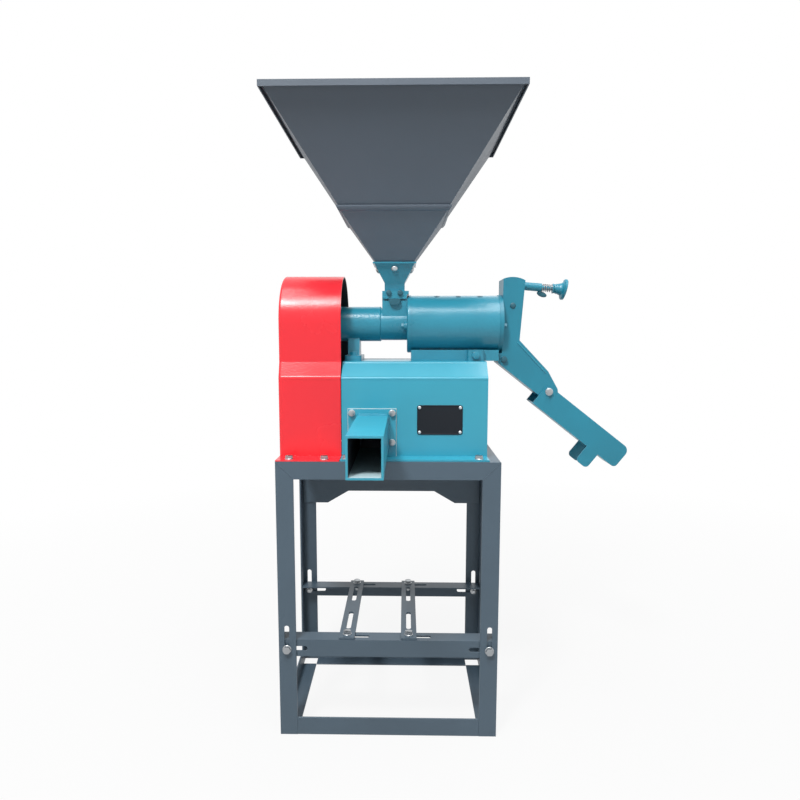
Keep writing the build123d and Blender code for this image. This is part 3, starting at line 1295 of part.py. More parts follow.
# Pressure flap with its lever
link_x = FLAP_PIN[0]
link_z = ROD_ROOT[1] + (ROD_ROOT[0] - link_x) * tan(radians(ROD_TILT))
flap_face = plate_right + OUTLET_T + FLAP_GAP
flap_half = OUTLET_HALF - OUTLET_T - FLAP_SIDE_GAP
flap_low = FLAP_PIN[1] - FLAP_DOWN
flap_high = flap_low + FLAP_H
with BuildPart() as pressure_flap:
    with BuildSketch(FRONT.offset(flap_half)):
        with Locations((flap_face, flap_low)):
            Rectangle(FLAP_T, FLAP_H, align=LOW)
    extrude(amount=-2 * flap_half)
    with BuildSketch(FRONT.offset(FLAP_ARM_HALF)):
        with BuildLine():
            Polyline(
                (flap_face, flap_high),
                (flap_face, flap_high - 2 * FLAP_PIN_R),
                (flap_face + FLAP_T, flap_high - 4 * FLAP_PIN_R),
                (FLAP_PIN[0] + FLAP_PIN_R, FLAP_PIN[1] - FLAP_PIN_R),
                (FLAP_PIN[0] - FLAP_PIN_R, FLAP_PIN[1] + FLAP_PIN_R),
                close=True,
            )
        make_face()
    extrude(amount=-2 * FLAP_ARM_HALF)
    disc(spot(FLAP_PIN[0], -FLAP_HUB_HALF, FLAP_PIN[1], (0, 1, 0)), FLAP_HUB_R, 2 * FLAP_HUB_HALF)
    with BuildSketch(FRONT.offset(LEVER_T / 2)):
        with Locations((link_x, FLAP_PIN[1])):
            Rectangle(LEVER_W, link_z - FLAP_PIN[1] + LEVER_OVER, align=FOOT)
        with Locations((link_x, link_z + LINK_RISE)):
            SlotOverall(4 * LINK_PIN_R, 2 * (LINK_PIN_R + LINK_GAP), rotation=90, mode=Mode.SUBTRACT)
    extrude(amount=-LEVER_T)
    disc(
        spot(FLAP_PIN[0], -FLAP_HUB_HALF, FLAP_PIN[1], (0, 1, 0)),
        FLAP_PIN_R + RUN_FIT,
        2 * FLAP_HUB_HALF,
        mode=Mode.SUBTRACT,
    )

# Pull rod with its fork, spring, cup and hand nut
link_s = (link_x - ROD_ROOT[0]) / cos(radians(ROD_TILT))
fork_y = LEVER_T / 2 + FORK_IN + FORK_T / 2
bridge_end = link_s + FORK_FRONT + FORK_BRIDGE
cup_start = SPRING_END + SPRING_GAP
knob_start = cup_start + CUP_T + SLIDE_GAP
knob_l = KNOB_HUB_L + KNOB_FLARE_L + KNOB_DISC_L
rod_end = knob_start + knob_l - ROD_SHORT
with BuildPart() as pull_rod:
    with BuildSketch(ROD.offset(link_s - FORK_BACK)):
        with Locations((-fork_y, 0), (fork_y, 0)):
            Rectangle(FORK_T, FORK_H)
    extrude(amount=FORK_BACK + FORK_FRONT)
    with BuildSketch(ROD.offset(link_s + FORK_FRONT)):
        Rectangle(2 * fork_y + FORK_T, FORK_H)
    extrude(amount=FORK_BRIDGE)
    disc(ROD.offset(bridge_end), ROD_R, rod_end - bridge_end)
    disc(spot(link_x, -LINK_PIN_HALF, link_z, (0, 1, 0)), LINK_PIN_R, 2 * LINK_PIN_HALF)

spring_l = SPRING_END - TUBE_END - 2 * (SPRING_WIRE + SLIDE_GAP)
with BuildPart() as pressure_spring:
    with BuildLine() as coil:
        Helix(
            spring_l / SPRING_TURNS,
            spring_l,
            SPRING_R,
            center=ROD.offset(TUBE_END + SPRING_WIRE + SLIDE_GAP).origin,
            direction=ROD_WAY,
        )
    with BuildSketch(Plane(origin=coil.line @ 0, z_dir=coil.line % 0)):
        Circle(SPRING_WIRE)
    sweep(path=coil.wire(), is_frenet=True)

with BuildPart() as spring_cup:
    disc(ROD.offset(cup_start), CUP_R, CUP_T, ROD_R + RUN_FIT)

with BuildPart() as pressure_knob:
    with BuildSketch(ROD_SECTION):
        with BuildLine():
            Polyline(
                (knob_start, ROD_R + RUN_FIT),
                (knob_start, KNOB_HUB_R),
                (knob_start + KNOB_HUB_L, KNOB_HUB_R),
                (knob_start + KNOB_HUB_L + KNOB_FLARE_L, KNOB_R - KNOB_EDGE),
                (knob_start + KNOB_HUB_L + KNOB_FLARE_L + KNOB_EDGE, KNOB_R),
                (knob_start + knob_l - KNOB_EDGE, KNOB_R),
                (knob_start + knob_l, KNOB_R - KNOB_EDGE),
                (knob_start + knob_l, ROD_R + RUN_FIT),
                close=True,
            )
        make_face()
    revolve(axis=Axis(ROD.origin, ROD_WAY))

# Lower chute on its pivot bolts
chute_in = OUTLET_HALF + CHUTE_GAP
chute_out = chute_in + CHUTE_T
with BuildPart() as lower_chute:
    with BuildSketch(CHUTE.offset(chute_out)):
        with Locations((-CHUTE_BACK, -CHUTE_BELOW)):
            Rectangle(CHUTE_REACH + CHUTE_BACK, CHUTE_ABOVE + CHUTE_BELOW, align=LOW)
        fillet(vertices().sort_by_distance((CHUTE_REACH, CHUTE_ABOVE))[0], CHUTE_NOSE_R)
        fillet(vertices().sort_by_distance((CHUTE_REACH, -CHUTE_BELOW))[0], CHUTE_TOE_R)
        fillet(vertices().sort_by_distance((-CHUTE_BACK, CHUTE_ABOVE))[0], CHUTE_HEEL_R)
        with Locations((HOOK_FROM, -CHUTE_BELOW - HOOK_L)):
            RectangleRounded(HOOK_TO - HOOK_FROM, HOOK_L + 2 * HOOK_ROUND, HOOK_ROUND, align=LOW)
        Circle(M8[0] + SLIDE_GAP, mode=Mode.SUBTRACT)
    extrude(amount=-CHUTE_T)
    mirror(about=FRONT)
    with BuildSketch(CHUTE.offset(chute_out)):
        with Locations((-CHUTE_BACK, -CHUTE_BELOW)):
            Rectangle(CHUTE_REACH + CHUTE_BACK - CHUTE_TOE_R, CHUTE_T, align=LOW)
    extrude(amount=-2 * chute_out)

with BuildPart() as chute_pivot_bolts:
    for end in (-1, 1):
        fasten(
            spot(CHUTE_PIVOT[0], end * (chute_out + CHUTE_GAP), CHUTE_PIVOT[1], (0, end, 0)),
            M8,
            CHUTE_T + 2 * CHUTE_GAP + OUTLET_T,
        )

finished = {
    "stand_legs": stand_legs,
    "top_rails_long": top_rails_long,
    "top_rails_short": top_rails_short,
    "foot_rails_long": foot_rails_long,
    "foot_rails_short": foot_rails_short,
    "rear_apron": rear_apron,
    "tray_rails": tray_rails,
    "tray_fasteners": tray_fasteners,
    "base_housing": base_housing,
    "deck_fasteners": deck_fasteners,
    "discharge_duct": discharge_duct,
    "duct_bolts": duct_bolts,
    "nameplate": nameplate,
    "nameplate_rivets": nameplate_rivets,
    "fan_casing": fan_casing,
    "fan_carrier": fan_carrier,
    "carrier_screws": carrier_screws,
    "fan_bearings": fan_bearings,
    "fan_shaft": fan_shaft,
    "fan_wheel": fan_wheel,
    "fan_pulley": fan_pulley,
    "fan_belt": fan_belt,
    "belt_guard": belt_guard,
    "bearing_housing": bearing_housing,
    "pedestal_bolts": pedestal_bolts,
    "main_bearings": main_bearings,
    "bearing_cap": bearing_cap,
    "main_shaft": main_shaft,
    "shaft_nuts": shaft_nuts,
    "main_pulley": main_pulley,
    "feed_screw": feed_screw,
    "milling_roller": milling_roller,
    "feed_chamber": feed_chamber,
    "feed_gate": feed_gate,
    "hopper_seat": hopper_seat,
    "hopper_lower": hopper_lower,
    "hopper_upper": hopper_upper,
    "hopper_bolts": hopper_bolts,
    "drum_cover": drum_cover,
    "drum_saddle": drum_saddle,
    "saddle_bolts": saddle_bolts,
    "milling_screen": milling_screen,
    "rice_knife": rice_knife,
    "knife_screws": knife_screws,
    "outlet_end_plate": outlet_end_plate,
    "drum_flange_bolts": drum_flange_bolts,
    "outlet_housing": outlet_housing,
    "tie_bolt": tie_bolt,
    "flap_pin": flap_pin,
    "pressure_flap": pressure_flap,
    "pull_rod": pull_rod,
    "pressure_spring": pressure_spring,
    "spring_cup": spring_cup,
    "pressure_knob": pressure_knob,
    "lower_chute": lower_chute,
    "chute_pivot_bolts": chute_pivot_bolts,
}
for name, piece in finished.items():
    piece.part.label = name
    export_step(piece.part, f"parts/{name}.step")
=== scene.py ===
"""Looks of a small rice huller on an angle stand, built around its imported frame."""
import json
import math
from collections import namedtuple

import bpy
import numpy as np
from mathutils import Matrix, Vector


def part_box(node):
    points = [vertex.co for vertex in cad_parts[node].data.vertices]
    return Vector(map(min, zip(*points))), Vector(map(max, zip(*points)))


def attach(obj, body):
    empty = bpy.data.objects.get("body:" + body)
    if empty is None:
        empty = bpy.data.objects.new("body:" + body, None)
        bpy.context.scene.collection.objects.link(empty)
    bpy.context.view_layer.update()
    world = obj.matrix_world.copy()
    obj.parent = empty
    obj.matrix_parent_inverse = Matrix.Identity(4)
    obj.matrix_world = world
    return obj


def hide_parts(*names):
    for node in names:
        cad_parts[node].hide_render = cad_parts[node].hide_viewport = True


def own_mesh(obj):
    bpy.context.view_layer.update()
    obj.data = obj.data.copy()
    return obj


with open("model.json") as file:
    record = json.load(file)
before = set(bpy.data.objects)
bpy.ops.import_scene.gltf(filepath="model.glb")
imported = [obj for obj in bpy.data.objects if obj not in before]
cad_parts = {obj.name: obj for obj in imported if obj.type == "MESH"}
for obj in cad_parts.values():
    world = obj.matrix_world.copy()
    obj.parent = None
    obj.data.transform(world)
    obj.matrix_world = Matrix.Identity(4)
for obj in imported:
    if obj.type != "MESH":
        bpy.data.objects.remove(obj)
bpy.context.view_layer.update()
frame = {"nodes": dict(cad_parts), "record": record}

bl_info = {
    "name": "Rice huller looks",
    "version": (1, 0, 0),
    "blender": (4, 5, 0),
    "location": "View3D > Sidebar > Huller",
    "description": "Paints the frame of a rice huller and adds its bolts, welds, plate and hand nut",
    "category": "Object",
}

NODES = frame["nodes"]
MM = 0.001
# The stand's centre in the row frame; places below are in millimetres from there
legs_low, legs_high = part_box("stand_legs")
CENTRE = np.array([(legs_low.x + legs_high.x) / 2, (legs_low.y + legs_high.y) / 2, 0.0])


def place(points):
    """Row-frame metres of millimetre points measured from the stand's centre."""
    return np.asarray(points, float) * MM + CENTRE


def span(name):
    """A node's lowest and highest corner, in millimetres from the stand's centre."""
    return np.array([(np.array(corner) - CENTRE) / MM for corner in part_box(name)])


HALF_WIDE, HALF_DEEP, _ = span("stand_legs")[1]
SHAFT_Z = span("main_shaft").mean(0)[2]
HOPPER_X = span("hopper_upper").mean(0)[0]
OUTLET_SIDE = span("outlet_housing")[1][1]
UP, DOWN = (0, 0, 1), (0, 0, -1)
FRONT = (0, -1, 0)
LEFT, RIGHT = (-1, 0, 0), (1, 0, 0)
CORNERS = [(x, y) for x in (-1, 1) for y in (-1, 1)]

# The duct: middle and half size of its square tube, and the front of its flange plate
DUCT_MIDDLE = (-28.25, 0.0, 562.5)
DUCT_HALF = (27.75, 32.5)
DUCT_PLATE = 4.0
DUCT_FRONT = span("discharge_duct")[1][1] - DUCT_PLATE
# The guard: a line along its middle, and a height over its flanges
GUARD_MIDDLE = (0.0, 0.0, 700.0)
GUARD_FLANGE_TOP = 521.0
# The adjuster's rod leaves the outlet at its root and falls a little on its way out
ROD_ROOT = np.array([254.6, 0.0, 832.3])
ROD_FALL = math.radians(5)
ROD_WAY = np.array([math.cos(ROD_FALL), 0.0, -math.sin(ROD_FALL)])

# Bolts: radius of the shank, of the hexagon's corners, height of the head, radius of the washer
Size = namedtuple("Size", "shank hexagon height washer")
M8 = Size(shank=4.0, hexagon=7.5, height=5.3, washer=8.0)
M8_SLIM = Size(shank=4.0, hexagon=6.2, height=3.8, washer=7.2)
M6 = Size(shank=3.0, hexagon=5.8, height=4.0, washer=6.2)
M5 = Size(shank=2.5, hexagon=4.6, height=3.2, washer=5.2)
# Thickness of a washer, and the chamfers of its lower and upper edge
WASHER = 1.6
WASHER_UNDER = 0.3
WASHER_RIM = 0.4
# Slope of the cone that cuts a hexagon's ends, and the share of its radius that stays flat
CONE = math.radians(30)
CONE_SHARE = 0.84
# Thread under a nut, its pointed tip, and the gap between the thread and the plain shank
THREAD_RINGS = 9
THREAD_DEPTH = 0.45
TIP_LONG = 0.6
TIP_IN = 0.9
RUN_OUT = 0.2
# Points round a turned part, and the least bend that shows as an edge
ROUND = 48
SHARP = math.radians(32)

# Clouds of dust and hand marks, nine to a metre: values of the noise where they are darkest and palest,
# and the change of roughness there
CLOUD_MM = 1000 / 9
CLOUD_ENDS = (0.3, 0.7)
CLOUD_GLOSS = (-0.04, 0.06)
# Waves of rolled sheet, and the roughness of an enamel's clear skin
WAVE_MM = 60.0
COAT_ROUGH = 0.13

SLOT_LOOK = {
    "stand_paint": "slate_enamel",
    "teal_paint": "teal_enamel",
    "red_paint": "red_enamel",
    "hopper_paint": "hopper_enamel",
    "zinc_steel": "zinc_plated_steel",
    "black_plate": "anodised_aluminium",
    "shaft_steel": "turned_steel",
    "spring_steel": "spring_steel",
    "cast_iron": "cast_iron",
    "sheet_steel": "galvanised_sheet",
    "belt_rubber": "belt_rubber",
}
# Nodes of the milling head and the outlet, whose enamel isn't the base's
OTHER_LOOK = {
    "head_enamel": ("hopper_seat", "drum_cover", "drum_saddle", "pull_rod", "spring_cup"),
    "cast_enamel": ("bearing_housing", "bearing_cap", "feed_chamber"),
    "outlet_enamel": ("outlet_end_plate", "outlet_housing", "lower_chute"),
    # The feed gate's dark enamel is painted shade
    "dark_enamel_and_gate_shade": ("feed_gate",),
}
NODE_LOOK = {name: paint for paint, names in OTHER_LOOK.items() for name in names}
# Edge rounding in millimetres, and the least bend in degrees that it rounds; others take the common size
LEAST_BEND = 40
SOFT_EDGES = {
    "base_housing": (2.2, 18),
    "belt_guard": (2.2, 18),
    "discharge_duct": (1.7, LEAST_BEND),
    "stand_legs": (1.5, LEAST_BEND),
    "top_rails_long": (1.5, LEAST_BEND),
    "top_rails_short": (1.5, LEAST_BEND),
}
# Thin walls and wire, left with the edges they have
PLAIN = ("hopper_upper", "pressure_spring", "milling_screen")
# Steps of a rounded edge; before it, points and planes as near as this are joined
EDGE_STEPS = 2
SAME_POINT = 0.02
SAME_PLANE = math.radians(0.5)


def linear(text):
    """Linear colour of an sRGB hex value."""
    parts = [int(text[i : i + 2], 16) / 255 for i in (1, 3, 5)]
    return [c / 12.92 if c <= 0.04045 else ((c + 0.055) / 1.055) ** 2.4 for c in parts]


def colour(name, about, text):
    """A colour that a user may change, written as sRGB hex."""
    return bpy.props.FloatVectorProperty(name=name, description=about, subtype="COLOR", default=linear(text))


def length(name, about, metres):
    """A length that a user may change."""
    return bpy.props.FloatProperty(name=name, description=about, default=metres, unit="LENGTH")


class HullerColours(bpy.types.PropertyGroup):
    """Colours of the enamels, the plating, the nameplate and the insides."""

    teal: colour("Teal", "Enamel on the base and the duct", "#3499b0")
    head: colour("Head", "Enamel on the castings of the milling head", "#2989a1")
    outlet: colour("Outlet", "Enamel on the outlet and the chute", "#1f7e95")
    # On the feed gate this dark tone is painted shade; on the small bolts it is worn enamel
    gate: colour("Small parts", "Worn enamel on the gate and small bolts", "#235c6c")
    red: colour("Red", "Enamel on the belt guard", "#ea2f39")
    slate: colour("Slate", "Enamel on the stand", "#495a67")
    hopper: colour("Hopper", "Enamel on the hopper", "#5a6571")
    zinc: colour("Zinc", "Zinc plating on washers and nuts", "#c4c7c9")
    bolt_head: colour("Bolt heads", "Duller plating on hexagon heads", "#a3a7aa")
    plate: colour("Plate", "Anodised nameplate", "#1a1e24")
    # On the duct's inner sides this dark primer is painted shade
    shade: colour("Primer", "Bare primer inside the guard and on the duct's inner sides", "#1b262e")
    # This pale tone is dust, and painted light, on the duct's floor and ceiling
    dust_and_light: colour("Dust", "Bran dust on primer inside the duct", "#a9c2c8")


class HullerSizes(bpy.types.PropertyGroup):
    """Sizes that a user may change."""

    edge: length("Edge", "Rounding of sheet edges", 0.0009)
    weld: length("Weld", "Radius of a weld bead", 0.0024)
    knob: length("Hand nut", "Radius of the hand nut's disc", 0.0195)


def node(tree, kind, settings=(), links=()):
    """Adds a node: settings are (socket or property, value), links are (input, from socket)."""
    made = tree.nodes.new(kind)
    for key, value in settings:
        if key in made.inputs:
            made.inputs[key].default_value = value
        else:
            setattr(made, key, value)
    for key, socket in links:
        tree.links.new(socket, made.inputs[key])
    return made


def clouds(tree, shader, spot, tone, rough, drift, height_shading):
    """Slow clouds that shift the tone by the share drift, and the gloss with it; a pair of heights, where
    given, scales the tone between them as painted shade and light.
    """
    noise = node(
        tree,
        "ShaderNodeTexNoise",
        [("Scale", 1 / (CLOUD_MM * MM)), ("Detail", 4.0)],
        [("Vector", spot)],
    )
    ramp = node(tree, "ShaderNodeValToRGB", links=[("Fac", noise.outputs["Fac"])])
    for end, share in enumerate((1 - drift, 1 + drift)):
        ramp.color_ramp.elements[end].position = CLOUD_ENDS[end]
        ramp.color_ramp.elements[end].color = [*(c * share for c in tone), 1.0]
    shown = ramp.outputs["Color"]
    # Painted shade and light: the tone is scaled between two heights
    if height_shading:
        (low, more), (high, less) = height_shading
        height = node(tree, "ShaderNodeSeparateXYZ", links=[("Vector", spot)]).outputs["Z"]
        share = node(
            tree,
            "ShaderNodeMapRange",
            [("From Min", low * MM), ("From Max", high * MM), ("To Min", more), ("To Max", less)],
            [("Value", height)],
        )
        shown = node(
            tree,
            "ShaderNodeVectorMath",
            [("operation", "SCALE")],
            [(0, shown), ("Scale", share.outputs[0])],
        ).outputs[0]
    tree.links.new(shown, shader.inputs["Base Color"])
    start, stop = CLOUD_ENDS
    sleek, dull = CLOUD_GLOSS
    smear = node(
        tree,
        "ShaderNodeMapRange",
        [("From Min", start), ("From Max", stop), ("To Min", rough + sleek), ("To Max", rough + dull)],
        [("Value", noise.outputs["Fac"])],
    )
    tree.links.new(smear.outputs[0], shader.inputs["Roughness"])


def relief(tree, shader, spot, grain_mm, grain, wave):
    """Two bumps of noise: slow waves of the sheet, and on them a grain of grain_mm, both by their heights."""
    below = []
    for wide, detail, high in ((WAVE_MM, 1.0, wave), (grain_mm, 2.0, grain)):
        noise = node(
            tree,
            "ShaderNodeTexNoise",
            [("Scale", 1 / (wide * MM)), ("Detail", detail)],
            [("Vector", spot)],
        )
        bump = node(
            tree,
            "ShaderNodeBump",
            [("Strength", 1.0), ("Distance", high * MM)],
            [("Height", noise.outputs["Fac"]), *below],
        )
        below = [("Normal", bump.outputs["Normal"])]
    tree.links.new(bump.outputs["Normal"], shader.inputs["Normal"])


def material(
    name, tone, rough, drift, metal=0.0, coat=0.0, level=0.5, grain_mm=0.0, grain=0.0, wave=0.0, height_shading=None
):
    """A finish with clouds in its tone and gloss, and a grain over slow waves where it has any.

    Grain and wave are heights in millimetres; the height shading is two pairs of a height and the tone's
    share there, painted shade and light."""
    made = bpy.data.materials.new(name)
    made.use_nodes = True
    tree = made.node_tree
    tree.nodes.clear()
    shader = node(
        tree,
        "ShaderNodeBsdfPrincipled",
        [
            ("Base Color", [*tone, 1.0]),
            ("Roughness", rough),
            ("Metallic", metal),
            ("Coat Weight", coat),
            ("Coat Roughness", COAT_ROUGH),
            ("Specular IOR Level", level),
        ],
    )
    spot = node(tree, "ShaderNodeTexCoord").outputs["Object"]
    clouds(tree, shader, spot, tone, rough, drift, height_shading)
    if grain or wave:
        relief(tree, shader, spot, grain_mm, grain, wave)
    end = node(tree, "ShaderNodeOutputMaterial")
    tree.links.new(shader.outputs[0], end.inputs[0])


def enamels(c):
    """Paints. Orange peel and the skin of castings are finer than these grains, drawn coarser to show."""
    # Sprayed enamel on bent sheet: even gloss with a thin clear skin, slow waves in its shine
    material("teal_enamel", c.teal, 0.34, 0.05, coat=0.2, grain_mm=3.0, grain=0.03, wave=0.7)
    # Brushed enamel on rolled and welded steel: deeper tone, uneven shine that runs along the drum
    material("head_enamel", c.head, 0.3, 0.1, coat=0.2, grain_mm=7.0, grain=0.4, wave=2.0)
    # Enamel over sand castings: the lumps under it break up the shine
    material("cast_enamel", c.head, 0.28, 0.12, coat=0.15, grain_mm=5.0, grain=0.5, wave=2.0)
    # A thinner coat on the outlet and the chute: darker and duller than the base
    material("outlet_enamel", c.outlet, 0.4, 0.08, coat=0.1, grain_mm=4.0, grain=0.05, wave=0.9)
    # Dark enamel with no clear skin left: worn on the handled small bolts, and painted shade on the feed
    # gate's tongue
    material("dark_enamel_and_gate_shade", c.gate, 0.4, 0.1, grain_mm=3.0, grain=0.05)
    # Gloss red with orange peel: its highlight is bright and finely speckled
    material("red_enamel", c.red, 0.24, 0.03, level=0.4, grain_mm=2.6, grain=0.18, wave=0.5)
    # Satin enamel on angle iron: wide soft highlights, straight sheet
    material("slate_enamel", c.slate, 0.42, 0.05, grain_mm=2.0, grain=0.03, wave=0.3)
    # Satin enamel on the hopper, darker up under the rim and lighter towards the bottom: painted shade under
    # the rim and painted light from below
    lit_bottom, shaded_top = (900, 1.22), (1110, 0.8)
    material(
        "hopper_enamel", c.hopper, 0.5, 0.04, grain_mm=2.0, grain=0.02, wave=0.6, height_shading=(lit_bottom, shaded_top)
    )
    # Primer without a top coat: flat and nearly black where no light falls; on the duct's inner sides its
    # darkness is painted shade
    material("dark_primer_and_shade", c.shade, 0.6, 0.15, grain_mm=2.0, grain=0.03)
    # Pale, matt and blotchy primer: dust on the duct's floor, and painted light where the floor is lit; the
    # ceiling takes it too
    material("dusty_and_lit_primer", c.dust_and_light, 0.8, 0.2, grain_mm=4.0, grain=0.05)


def metals(c):
    """Plated and bare metals, board and rubber. Their grains are drawn coarser than they are, to show."""
    # Zinc plating on washers and nuts: bright but milky
    material("zinc_plated_steel", c.zinc, 0.42, 0.06, metal=1.0, grain_mm=1.0, grain=0.01)
    # Zinc on forged heads: darker, with sharper glints on the flats
    material("dull_zinc", c.bolt_head, 0.3, 0.08, metal=1.0, grain_mm=1.0, grain=0.01)
    # Black anodised plate: deep and even, little shine
    material("anodised_aluminium", c.plate, 0.45, 0.1, level=0.2, grain_mm=1.5, grain=0.01)
    # Pressed fibre board: a pale matt gasket line round the duct's plate, which also stands in as a painted
    # highlight on the plate's edges
    material("gasket_board_and_highlight", linear("#cfd3d0"), 0.8, 0.08, grain_mm=1.5, grain=0.05)
    # Turned steel of the shafts: clean and bright
    material("turned_steel", linear("#a9adb0"), 0.3, 0.06, metal=1.0, grain_mm=1.0, grain=0.02)
    # Drawn and oiled wire: smooth, so it has no grain
    material("spring_steel", linear("#8d9296"), 0.35, 0.06, metal=1.0)
    # Sand cast iron of pulleys and rollers: dark, rough, hardly a metal's shine
    material("cast_iron", linear("#4a4c4f"), 0.6, 0.12, metal=0.4, grain_mm=1.6, grain=0.12)
    # Galvanised sheet of the blower: wide faint flowers of zinc
    material("galvanised_sheet", linear("#9aa0a4"), 0.4, 0.12, metal=1.0, grain_mm=12.0, grain=0.02)
    # Cord rubber of the belt: black and matt
    material("belt_rubber", linear("#191a1b"), 0.7, 0.1, grain_mm=1.2, grain=0.05)


def dress(name, slot, edge):
    """Gives a node its finish and, unless it is left plain, welded points and rounded edges."""
    made = NODES[name]
    made.data.materials.clear()
    made.data.materials.append(bpy.data.materials[NODE_LOOK.get(name, SLOT_LOOK[slot])])
    if name in PLAIN:
        return
    wide, least = SOFT_EDGES.get(name, (edge, LEAST_BEND))
    weld = made.modifiers.new("Weld", "WELD")
    weld.merge_threshold = SAME_POINT * MM
    flat = made.modifiers.new("Flat", "DECIMATE")
    flat.decimate_type = "DISSOLVE"
    flat.angle_limit = SAME_PLANE
    soft = made.modifiers.new("Edge", "BEVEL")
    soft.width = wide * MM
    soft.segments = EDGE_STEPS
    soft.limit_method = "ANGLE"
    soft.angle_limit = math.radians(least)
    made.modifiers.new("Normals", "WEIGHTED_NORMAL")


def inside(name, paint, across, line, floor=0.0, away=4.0, square=0.7):
    """Paints a node's inner faces: those above a floor that look at a line, in the axes across it.

    Such a face is more than away millimetres from the line, along a normal that lies in those axes."""
    mesh = NODES[name].data
    mesh.materials.append(bpy.data.materials[paint])
    middle, facing = np.zeros((2, 3 * len(mesh.polygons)))
    mesh.polygons.foreach_get("center", middle)
    mesh.polygons.foreach_get("normal", facing)
    middle, facing = middle.reshape(-1, 3), facing.reshape(-1, 3)
    inward = (facing * (place(line) - middle) * across).sum(1) > away * MM
    straight = (facing**2 * across).sum(1) > square
    inner = inward & straight & (middle[:, 2] > floor * MM)
    slots = np.zeros(len(mesh.polygons), np.int32)
    mesh.polygons.foreach_get("material_index", slots)
    slots[inner] = len(mesh.materials) - 1
    mesh.polygons.foreach_set("material_index", slots)


def unit(vectors):
    """Vectors of the same directions with a length of one."""
    return vectors / np.linalg.norm(vectors, axis=-1, keepdims=True)


def axes(facing):
    """Two unit vectors across a direction, and the direction itself."""
    n = unit(np.array(facing, float))
    upright = abs(n[2]) >= 0.9
    a = unit(np.cross(n, RIGHT if upright else UP))
    return a, np.cross(n, a), n


def turn(count):
    """Angles of that many points, evenly round a circle."""
    return np.linspace(0, 2 * np.pi, count, endpoint=False)


def grid(count, around, closed):
    """Quads between neighbours on a grid of rings, whose last ring meets the first where it is closed."""
    i = np.arange(count if closed else count - 1)[:, None]
    j = np.arange(around)[None, :]
    n, k = (i + 1) % count, (j + 1) % around
    quads = (i * around + j, i * around + k, n * around + k, n * around + j)
    return np.stack(quads, -1).reshape(-1, 4)


def tube(rings, head=False):
    """Sheet over a row of rings of equal count: quads between them and a flat face on each end."""
    count, around = rings.shape[:2]
    first = np.arange(around)
    ends = np.stack([first[::-1], first + (count - 1) * around])
    return rings.reshape(-1, 3), (grid(count, around, False), ends), head


def hoop(rings):
    """Sheet over rings that follow one another in a loop: quads alone, closed both ways."""
    return rings.reshape(-1, 3), (grid(*rings.shape[:2], True),), False


def ring_stack(seat, facing, radii, heights):
    """Rings at seat + height*n + radius*(a cos t + b sin t); radii and heights may vary with t."""
    a, b, n = axes(facing)
    t = turn(ROUND)
    r = np.stack([np.broadcast_to(np.asarray(x, float), ROUND) for x in radii])[..., None]
    h = np.stack([np.broadcast_to(np.asarray(x, float), ROUND) for x in heights])[..., None]
    return np.array(seat, float) + h * n + r * (a * np.cos(t)[:, None] + b * np.sin(t)[:, None])


def hexagon(radius):
    """Distance from the middle to a hexagon's side: radius cos 30 / cos(t mod 60 - 30)."""
    return radius * math.cos(math.pi / 6) / np.cos(turn(ROUND) % (np.pi / 3) - np.pi / 6)


def bolt(seat, facing, size, grip, nut=False):
    """A bolt whose washer and head stand on its seat, with its nut and threaded end below the grip.

    Each is a stack of rings. A cone takes (side - flat) tan 30 off the ends of a hexagon."""
    shank, wide = size.shank, size.washer
    side = hexagon(size.hexagon)
    flat = CONE_SHARE * size.hexagon
    drop = np.maximum(side - flat, 0) * math.tan(CONE)
    top = WASHER + size.height
    washer = ring_stack(
        seat,
        facing,
        [wide - WASHER_UNDER, wide, wide, wide - WASHER_RIM],
        [0, WASHER_UNDER, WASHER - WASHER_RIM, WASHER],
    )
    head = ring_stack(seat, facing, [flat, side, side, flat], [WASHER, WASHER, top - drop, top])
    sheets = [tube(washer), tube(head, head=True)]
    if not nut:
        return sheets + [tube(ring_stack(seat, facing, [shank, shank], [-grip, 0]))]
    low = -grip - size.height
    under = ring_stack(seat, facing, [flat, side, side, flat], [low, low + drop, -grip - drop, -grip])
    end = low - shank
    threads = np.linspace(end + TIP_LONG, low, THREAD_RINGS)
    crests = np.where(np.arange(THREAD_RINGS) % 2, shank, shank - THREAD_DEPTH)
    rod = ring_stack(
        seat, facing, [shank - TIP_IN, *crests, shank, shank], [end, *threads, low + RUN_OUT, 0]
    )
    return sheets + [tube(under), tube(rod)]


def button(seat, facing, radius, height, stem, deep, foot=0.96, rim=0.15, rings=8):
    """A domed head over a low rim, r = R cos u and h = H (rim + (1 - rim) sin u), on a plain stem."""
    u = np.linspace(0, 0.46 * np.pi, rings)
    radii = [radius * foot, *(radius * np.cos(u))]
    dome = ring_stack(seat, facing, radii, [0, *(height * (rim + (1 - rim) * np.sin(u)))])
    return [tube(dome), tube(ring_stack(seat, facing, [stem, stem], [-deep, 0]))]


def twins(make, seat, facing=None, **sizes):
    """The same part in front and at the back; it faces outwards where no facing is given."""
    x, y, z = seat
    sheets = []
    for side in (-1, 1):
        sheets += make((x, side * y, z), facing or (0, side, 0), **sizes)
    return sheets


def coil(root, facing, first, last, turns, radius, wire, steps=40, sides=12):
    """A wire along root + s n + R (a cos t + b sin t), s rising evenly from first to last."""
    a, b, n = axes(facing)
    t = np.linspace(0, 2 * np.pi * turns, int(steps * turns))[:, None]
    out = a * np.cos(t) + b * np.sin(t)
    line = root + (first + (last - first) * t / t[-1]) * n + radius * out
    side = np.cross(unit(np.gradient(line, axis=0)), out)
    u = turn(sides)[:, None]
    return tube(line[:, None] + wire * (out[:, None] * np.cos(u) + side[:, None] * np.sin(u)))


